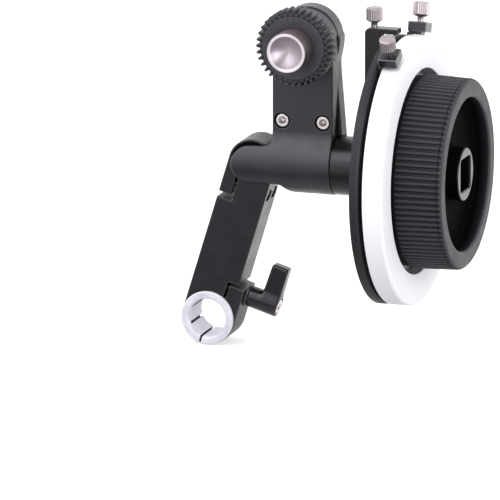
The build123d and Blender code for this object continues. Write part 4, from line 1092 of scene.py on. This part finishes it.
class FOCUS_OT_index_plate(bpy.types.Operator):
    """Round index plate behind the marking disc"""

    bl_idname = "focus.index_plate"
    bl_label = "Index plate"

    def execute(self, context):
        low, high = node_span("index_plate", 0)
        bore, bevel = 7.0, 0.8
        corners = [
            (low, bore, 0), (low, RIM_RADIUS, 0.3), (high - bevel, RIM_RADIUS, 0.15),
            (high, RIM_RADIUS - bevel, 0.15), (high, bore, 0),
        ]
        ring = lathe(softened(corners, 4), WHEEL_CENTRE, X_WAY, 256)
        add_piece("index_plate_disc", [ring], "index black", "head", ["index_plate"])
        return {"FINISHED"}


class FOCUS_OT_index_bracket(bpy.types.Operator):
    """Bracket that carries the index finger over the rim, with its thumb screw"""

    bl_idname = "focus.index_bracket"
    bl_label = "Index bracket"

    def execute(self, context):
        left, tip = node_span("index_bracket", 0)
        right = left + 6.4
        ring, block_half, block_low = 14.6, 5, -17.2
        top, finger_low, half = 55.8, 53.7, 2.7

        def distance(x, y, z):
            post = overlap(slab(x, left, right), slab(z, 0, top))
            finger = overlap(slab(x, left, tip), slab(z, finger_low, top))
            corner = both(2.4, left - x, z - top)
            upper = both(0.35, union(post, finger), corner, np.abs(y) - half)
            end_view = union(disc(y, z, ring), overlap(np.abs(y) - block_half, slab(z, block_low, 0)))
            lower = both(0.35, end_view, slab(x, left, right))
            hole = union(disc(y, z, COLLAR_RADIUS), overlap(np.abs(y) - 0.6, z))
            return both(0.2, union(upper, lower), -hole)

        solid = carve(distance, (left, -ring, block_low), (tip, ring, top), 0.27, WHEEL_CENTRE)
        add_piece("index_bracket_arm", [solid], "bracket black", "head", ["index_bracket"])
        foot = np.array([joint_place("index_thumb_turn")[0], 0, WHEEL_Z + top])
        screw = thumb_screw(foot, Z_WAY, 7.4, context.scene.focus_size.thumb_flutes)
        add_piece("index_thumb_screw", [screw], "thumb metal", "index_thumb", ["index_screw"])
        return {"FINISHED"}


class FOCUS_OT_markers(bpy.types.Operator):
    """Two markers on the disc's rim, each a block with a hooked foot and a thumb screw"""

    bl_idname = "focus.markers"
    bl_label = "Markers"

    def execute(self, context):
        start, tongue = DISC_REAR - 0.8, DISC_REAR - 1.4
        length, half, seat, top = 7.5, 3.9, 53.7, 57.6
        foot_length, foot_half, foot_low = 5.3, 2.5, 52.6
        hook_low, hook_top, hook_thick = 47.5, 53.3, 1.1
        toe_length, toe_top = 2.3, 49.7

        def distance(x, s, r):
            block = both(0.35, slab(x, start, start + length), np.abs(s) - half, slab(r, seat, top))
            foot = overlap(slab(x, start, start + foot_length), slab(r, foot_low, seat + 0.2))
            back = overlap(slab(x, tongue, tongue + hook_thick), slab(r, hook_low, hook_top))
            neck = overlap(slab(x, tongue, start + 1.0), slab(r, foot_low, hook_top))
            toe = overlap(slab(x, tongue, tongue + toe_length), slab(r, hook_low, toe_top))
            hook = both(0.15, union(foot, back, neck, toe), np.abs(s) - foot_half)
            return union(block, hook)

        low, high = (tongue, -half, hook_low), (start + length, half, top)
        for side in ("front", "rear"):
            out = unit(joint_of(f"{side}_thumb_turn")["axis"])
            solid = carve(distance, low, high, 0.2, WHEEL_CENTRE, [X_WAY, np.cross(out, X_WAY), out])
            add_piece(
                f"{side}_marker_block", [solid], "marker black", f"{side}_marker",
                [f"marker_{side}"],
            )
            foot = WHEEL_CENTRE + X_WAY * (start + length / 2) + out * top
            screw = thumb_screw(foot, out, 4.9, context.scene.focus_size.thumb_flutes)
            add_piece(
                f"{side}_marker_thumb", [screw], "thumb metal", f"{side}_thumb",
                [f"marker_screw_{side}"],
            )
        return {"FINISHED"}


class FOCUS_OT_marking_disc(bpy.types.Operator):
    """White marking disc, with the markers' groove in its back"""

    bl_idname = "focus.marking_disc"
    bl_label = "Marking disc"

    def execute(self, context):
        rear, front = node_span("marking_disc", 0)
        seat, groove = rear + 3.1, rear + 1.5
        bore, seat_radius, groove_in, groove_out = 40.0, 44.5, 47.2, 50.0
        corners = [
            (rear, seat_radius, 0.1), (rear, groove_in, 0.1), (groove, groove_in, 0), (groove, groove_out, 0),
            (rear, groove_out, 0.1), (rear, RIM_RADIUS, 0.35), (front, RIM_RADIUS, 1.1), (front, bore, 0.5),
            (seat, bore, 0.1), (seat, seat_radius, 0),
        ]
        ring = lathe(softened(corners, 6), WHEEL_CENTRE, X_WAY, 288)
        add_piece("marking_disc_ring", [ring], "disc white", "marking", ["marking_disc"])
        return {"FINISHED"}


class FOCUS_OT_hand_wheel(bpy.types.Operator):
    """Grooved hand wheel with its dish"""

    bl_idname = "focus.hand_wheel"
    bl_label = "Hand wheel"

    def execute(self, context):
        settings = context.scene.focus_size
        neck, front = node_span("hand_wheel", 0)
        rear, floor, hub_floor = front - 18.5, front - 6.4, neck + 9.0
        grip_rear, grip_front, back_edge = 37.7, 37.1, 37.0
        dish_edge, dish_foot, hub_hole, carrier_hole = 29.9, 29.6, HUB_RADIUS + 0.04, 13.8
        grip_rows = 20
        corners = [
            (neck, carrier_hole, 0), (neck, back_edge, 0.3), (rear, back_edge, 0), (rear, grip_rear, 0.25),
            (front, grip_front, 2.0), (front, dish_edge, 1.4), (floor, dish_foot, 2.0), (floor, hub_hole, 0),
            (hub_floor, hub_hole, 0), (hub_floor, carrier_hole, 0),
        ]
        profile = softened(corners, 12)

        def grip_radius(along):
            return grip_rear + (grip_front - grip_rear) * (along - rear) / (front - rear)

        rows = np.linspace(rear + 0.4, front - 1.6, grip_rows)
        start = np.argmax((profile[:, 0] > front - 2.0) & (profile[:, 1] > 36.0))
        profile = np.insert(profile, start, np.stack([rows, grip_radius(rows)], axis=1), axis=0)

        def grooves(along, radius, angle):
            """The grip's radius less the groove's depth, where cos(angle * grooves) is low."""
            crest = eased(np.clip(0.5 + 0.95 * np.cos(angle * settings.grooves), 0, 1))
            cut = grip_radius(along) - settings.groove_depth / MM * (1 - crest)
            on_grip = (along > rear + 0.05) & (radius > 35.0)
            return np.where(on_grip, np.minimum(radius, cut) - radius, 0.0)

        def in_dish(x, y, z):
            """The dish's floor and the foot of its wall, which take the dish's dimmer finish with its painted
            shade.
            """
            return (np.hypot(y, z - WHEEL_Z) < 31.0) & (x > floor - 0.5) & (x < front - 0.7)

        wheel = lathe(profile, WHEEL_CENTRE, X_WAY, settings.grooves * 10, wave=grooves)
        add_piece(
            "hand_wheel_grip", [wheel], "wheel black and painted shade", "wheel", ["hand_wheel"],
            "dish painted shade", in_dish,
        )
        return {"FINISHED"}


class FOCUS_OT_wheel_hub(bpy.types.Operator):
    """Polished hub with its square socket"""

    bl_idname = "focus.wheel_hub"
    bl_label = "Wheel hub"

    def execute(self, context):
        low, front = node_span("wheel_hub", 0)
        half, floor = 12.7 / 2, front - 9.8
        screw_hole, shaft_hole, shaft_end = 3.5, 4.05, floor - 3.6

        def distance(x, y, z):
            body = both(0.6, disc(y, z, HUB_RADIUS), slab(x, low, front))
            socket = overlap(both(1.5, np.abs(y) - half, np.abs(z) - half), floor - x)
            screw_way = overlap(disc(y, z, screw_hole), x - floor - 0.1)
            shaft_way = overlap(disc(y, z, shaft_hole), x - shaft_end)
            return both(0.8, body, -union(socket, screw_way, shaft_way))

        hub = carve(
            distance, (low, -HUB_RADIUS, -HUB_RADIUS), (front, HUB_RADIUS, HUB_RADIUS), 0.2, WHEEL_CENTRE
        )
        add_piece("wheel_hub_boss", [hub], "hub black", "wheel", ["wheel_hub"])
        return {"FINISHED"}


class FOCUS_OT_drive_gear(bpy.types.Operator):
    """Moulded drive gear"""

    bl_idname = "focus.drive_gear"
    bl_label = "Drive gear"

    def execute(self, context):
        count = context.scene.focus_size.gear_teeth
        front, rear = node_span("drive_gear", 1)
        rim_front = front + 0.6
        pitch, module = 14.4, 0.8
        tip, root = pitch + module - 0.02, pitch - 1.15 * module
        bore, face, bevel = 3.02, 12.4, 0.05
        corners = [
            (-rear, bore, 0), (-rear, tip, 0.35), (-rim_front, tip, 0.35), (-rim_front, face + bevel, 0.12),
            (-front, face, 0.25), (-front, bore, 0),
        ]
        profile = np.insert(softened(corners, 5), 1, [-rear, root - 0.4], axis=0)

        def teeth(along, radius, angle):
            """Teeth that grow from nothing at the root circle: depth * (1 - an eased cosine)."""
            tooth = eased(np.clip(0.5 + 0.85 * np.cos(angle * count), 0, 1))
            depth = (tip - root) * np.clip((radius - root) / (tip - root), 0, 1)
            return -depth * (1 - tooth)

        gear = lathe(profile, GEAR_CENTRE, -Y_WAY, count * 20, wave=teeth)
        add_piece("drive_gear_rim", [gear], "gear black and painted shade", "output", ["drive_gear"])
        return {"FINISHED"}


class FOCUS_OT_gear_nut(bpy.types.Operator):
    """Turned thumb nut of the drive gear"""

    bl_idname = "focus.gear_nut"
    bl_label = "Gear nut"

    def execute(self, context):
        count = context.scene.focus_size.nut_flutes
        front, rear = node_span("gear_nut", 1)
        bowl_depth, bowl_rows, side_rows, knurl_depth = 4.0, 28, 10, 0.26
        corners = [
            (-rear, 0, 0), (-rear, NUT_RADIUS, 0.2), (-front, NUT_RADIUS, 0.2), (-front, NUT_BOWL + 0.1, 0),
        ]
        profile = softened(corners, 6, closed=False)
        ball = (NUT_BOWL**2 + bowl_depth**2) / (2 * bowl_depth)
        out = NUT_BOWL * np.linspace(1, 0, bowl_rows)
        sunk = np.sqrt(ball**2 - out**2) - (ball - bowl_depth)
        profile = np.concatenate([profile, np.stack([-front - 0.1 - sunk, out], axis=1)])
        side = np.linspace(-rear + 0.4, -front - 0.5, side_rows)
        start = np.argmax(profile[:, 1] > NUT_RADIUS - 0.01) + 1
        profile = np.insert(profile, start, np.stack([side, np.full(side_rows, NUT_RADIUS)], axis=1), axis=0)

        def knurl(along, radius, angle):
            """Knurls that fade out before both ends: depth * (1 - |cos(angle * knurls / 2)|)."""
            crest = np.abs(np.cos(angle * count / 2))
            from_rear = np.clip((along + rear - 0.3) / 0.3, 0, 1)
            from_front = np.clip((-front - 0.25 - along) / 0.2, 0, 1)
            return -knurl_depth * (1 - crest) * from_rear * from_front * (radius > NUT_RADIUS - 0.08)

        nut = lathe(profile, GEAR_CENTRE, -Y_WAY, count * 6, closed=False, wave=knurl)
        add_piece("gear_thumb_nut", [nut], "nut metal and painted shade", "nut", ["gear_nut"])
        return {"FINISHED"}


class FOCUS_OT_carried_nodes(bpy.types.Operator):
    """Finishes of the pieces that stay as the frame gives them"""

    bl_idname = "focus.carried_nodes"
    bl_label = "Carried pieces"

    def execute(self, context):
        for name, node in frame["nodes"].items():
            finish = "carrier metal" if name == "wheel_carrier" else "shaft steel"
            if name.endswith(("screws", "screw")):
                finish = "screw steel"
            node.data.materials.clear()
            node.data.materials.append(finishes()[finish])
        return {"FINISHED"}


class FOCUS_OT_stage(bpy.types.Operator):
    """Floor, lamps, world and camera"""

    bl_idname = "focus.stage"
    bl_label = "Stage"

    def execute(self, context):
        scene = context.scene
        settings = scene.focus_stage
        scene.view_settings.view_transform = "Standard"
        aim = self.camera(scene, settings)
        self.floor(scene, settings)
        self.lamp(scene, "overhead", (-0.35, -0.80, 0.95), (1.0, 0.8), settings.overhead, aim)
        self.lamp(scene, "front low", (-0.42, -1.15, 0.40), (0.8, 0.5), settings.low_box, aim)
        self.lamp(scene, "front left", (-0.95, -0.75, 0.55), (0.5, 0.6), settings.left, aim)
        self.lamp(scene, "front right", (1.05, -0.55, 0.38), (0.5, 0.9), settings.right_box, aim)
        self.world(scene, settings)
        return {"FINISHED"}

    def camera(self, scene, settings):
        """A camera at the set angles and distance from its aim, which it gives back. Places are in metres."""
        a, e = settings.azimuth, settings.elevation
        back = np.array([np.sin(a) * np.cos(e), -np.cos(a) * np.cos(e), np.sin(e)])
        right = np.array([np.cos(a), np.sin(a), 0])
        aim = np.array([0.04, 0.0, 0.06]) + right * settings.right + np.cross(back, right) * settings.up
        camera = bpy.data.cameras.new("camera")
        camera.sensor_width = 36.0
        camera.lens = camera.sensor_width * settings.distance / settings.field
        camera.clip_start, camera.clip_end = 0.05, 20.0
        holder = bpy.data.objects.new("camera", camera)
        holder.location = Vector(aim + back * settings.distance)
        holder.rotation_euler = Vector(-back).to_track_quat("-Z", "Y").to_euler()
        scene.collection.objects.link(holder)
        scene.camera = holder
        return aim

    def floor(self, scene, settings):
        """A wide level sheet just under the rod clamp, white to the camera.

        Mirrored in the unit it is dim, but bright far behind the unit and well in front of it.
        """
        low, size = cad_box[0][2] - 0.2 * MM, 6.0
        mesh = bpy.data.meshes.new("floor")
        corners = [(-size, -size, low), (size, -size, low), (size, size, low), (-size, size, low)]
        mesh.from_pydata(corners, [], [(0, 1, 2, 3)])
        paper = Finish("paper floor")
        paper.set("Roughness", 0.9)
        paper.set("Specular IOR Level", 0.1)
        glossy = paper.output("LightPath", "Is Glossy Ray")
        seen = paper.output("LightPath", "Is Camera Ray")
        paper.set("Base Color", paper.blend(glossy, settings.floor, scaled(settings.floor, 0.28)))
        split = paper.nodes.new("ShaderNodeSeparateXYZ")
        paper.links.new(paper.place, split.inputs[0])
        behind = paper.ramp(split.outputs["Y"], -0.10, 0.12, 0.0, 1.7)
        before = paper.ramp(split.outputs["Y"], -0.16, -0.36, 0.0, 0.85)
        mirrored = paper.maths("MULTIPLY", glossy, paper.maths("ADD", behind, before))
        paper.set("Emission Color", (1.0, 1.0, 1.0, 1.0))
        paper.set("Emission Strength", paper.maths("MULTIPLY_ADD", seen, 0.62, mirrored))
        mesh.materials.append(paper.material)
        sheet = bpy.data.objects.new("floor", mesh)
        scene.collection.objects.link(sheet)

    def lamp(self, scene, name, place, size, power, aim):
        """A rectangular area lamp that faces the unit."""
        light = bpy.data.lights.new(name, "AREA")
        light.shape = "RECTANGLE"
        light.size, light.size_y = size
        light.energy = power
        holder = bpy.data.objects.new(name, light)
        holder.location = place
        holder.rotation_euler = (Vector(aim) - Vector(place)).to_track_quat("-Z", "Y").to_euler()
        scene.collection.objects.link(holder)

    def world(self, scene, settings):
        """Even light from all round, softly dimmed towards the camera, and white where the camera sees it."""
        world = bpy.data.worlds.new("world")
        scene.world = world
        world.use_nodes = True
        tree = Tree(world.node_tree)
        even = tree.nodes["Background"]
        even.inputs["Strength"].default_value = settings.world
        to_camera = (np.sin(settings.azimuth), -np.cos(settings.azimuth), 0.0)
        ray = tree.output("TexCoord", "Generated")
        toward = tree.vector_maths("DOT_PRODUCT", ray, to_camera, output="Value")
        tree.put(even.inputs["Color"], tree.ramp(toward, -0.6, 0.75, 1.5, 0.62, "SMOOTHSTEP"))
        white = tree.nodes.new("ShaderNodeBackground")
        white.inputs["Color"].default_value = (1.0, 1.0, 1.0, 1.0)
        white.inputs["Strength"].default_value = 1.0
        mix = tree.nodes.new("ShaderNodeMixShader")
        sources = (tree.output("LightPath", "Is Camera Ray"), even.outputs[0], white.outputs[0])
        for socket, source in zip(mix.inputs, sources):
            tree.links.new(source, socket)
        tree.links.new(mix.outputs[0], tree.nodes["World Output"].inputs["Surface"])


class FOCUS_PT_panel(bpy.types.Panel):
    """Lists the unit's pieces and settings"""

    bl_idname = "FOCUS_PT_panel"
    bl_label = "Follow Focus"
    bl_space_type = "VIEW_3D"
    bl_region_type = "UI"
    bl_category = "Follow Focus"

    def draw(self, context):
        layout = self.layout
        for operator in PIECES:
            layout.operator(operator.bl_idname)
        for group in (context.scene.focus_finish, context.scene.focus_size, context.scene.focus_stage):
            box = layout.box()
            for name in group.bl_rna.properties.keys():
                if name not in ("rna_type", "name"):
                    box.prop(group, name)


PIECES = (
    FOCUS_OT_carried_nodes,
    FOCUS_OT_swing_arm,
    FOCUS_OT_rod_bushing,
    FOCUS_OT_pinch_screws,
    FOCUS_OT_ratchet_lever,
    FOCUS_OT_body_housing,
    FOCUS_OT_rear_cover,
    FOCUS_OT_collar,
    FOCUS_OT_index_plate,
    FOCUS_OT_index_bracket,
    FOCUS_OT_markers,
    FOCUS_OT_marking_disc,
    FOCUS_OT_hand_wheel,
    FOCUS_OT_wheel_hub,
    FOCUS_OT_drive_gear,
    FOCUS_OT_gear_nut,
    FOCUS_OT_stage,
)
GROUPS = (FocusFinishSettings, FocusSizeSettings, FocusStageSettings)


def register():
    """Registers the settings, the operators and the panel."""
    for item in GROUPS + PIECES + (FOCUS_PT_panel,):
        bpy.utils.register_class(item)
    bpy.types.Scene.focus_finish = PointerProperty(type=FocusFinishSettings)
    bpy.types.Scene.focus_size = PointerProperty(type=FocusSizeSettings)
    bpy.types.Scene.focus_stage = PointerProperty(type=FocusStageSettings)


def unregister():
    """Takes the settings, the operators and the panel away again."""
    del bpy.types.Scene.focus_finish, bpy.types.Scene.focus_size, bpy.types.Scene.focus_stage
    for item in reversed(GROUPS + PIECES + (FOCUS_PT_panel,)):
        bpy.utils.unregister_class(item)


def main():
    """Builds every piece and the stage."""
    register()
    for operator in PIECES:
        group, name = operator.bl_idname.split(".")
        getattr(getattr(bpy.ops, group), name)()


if __name__ == "__main__":
    main()
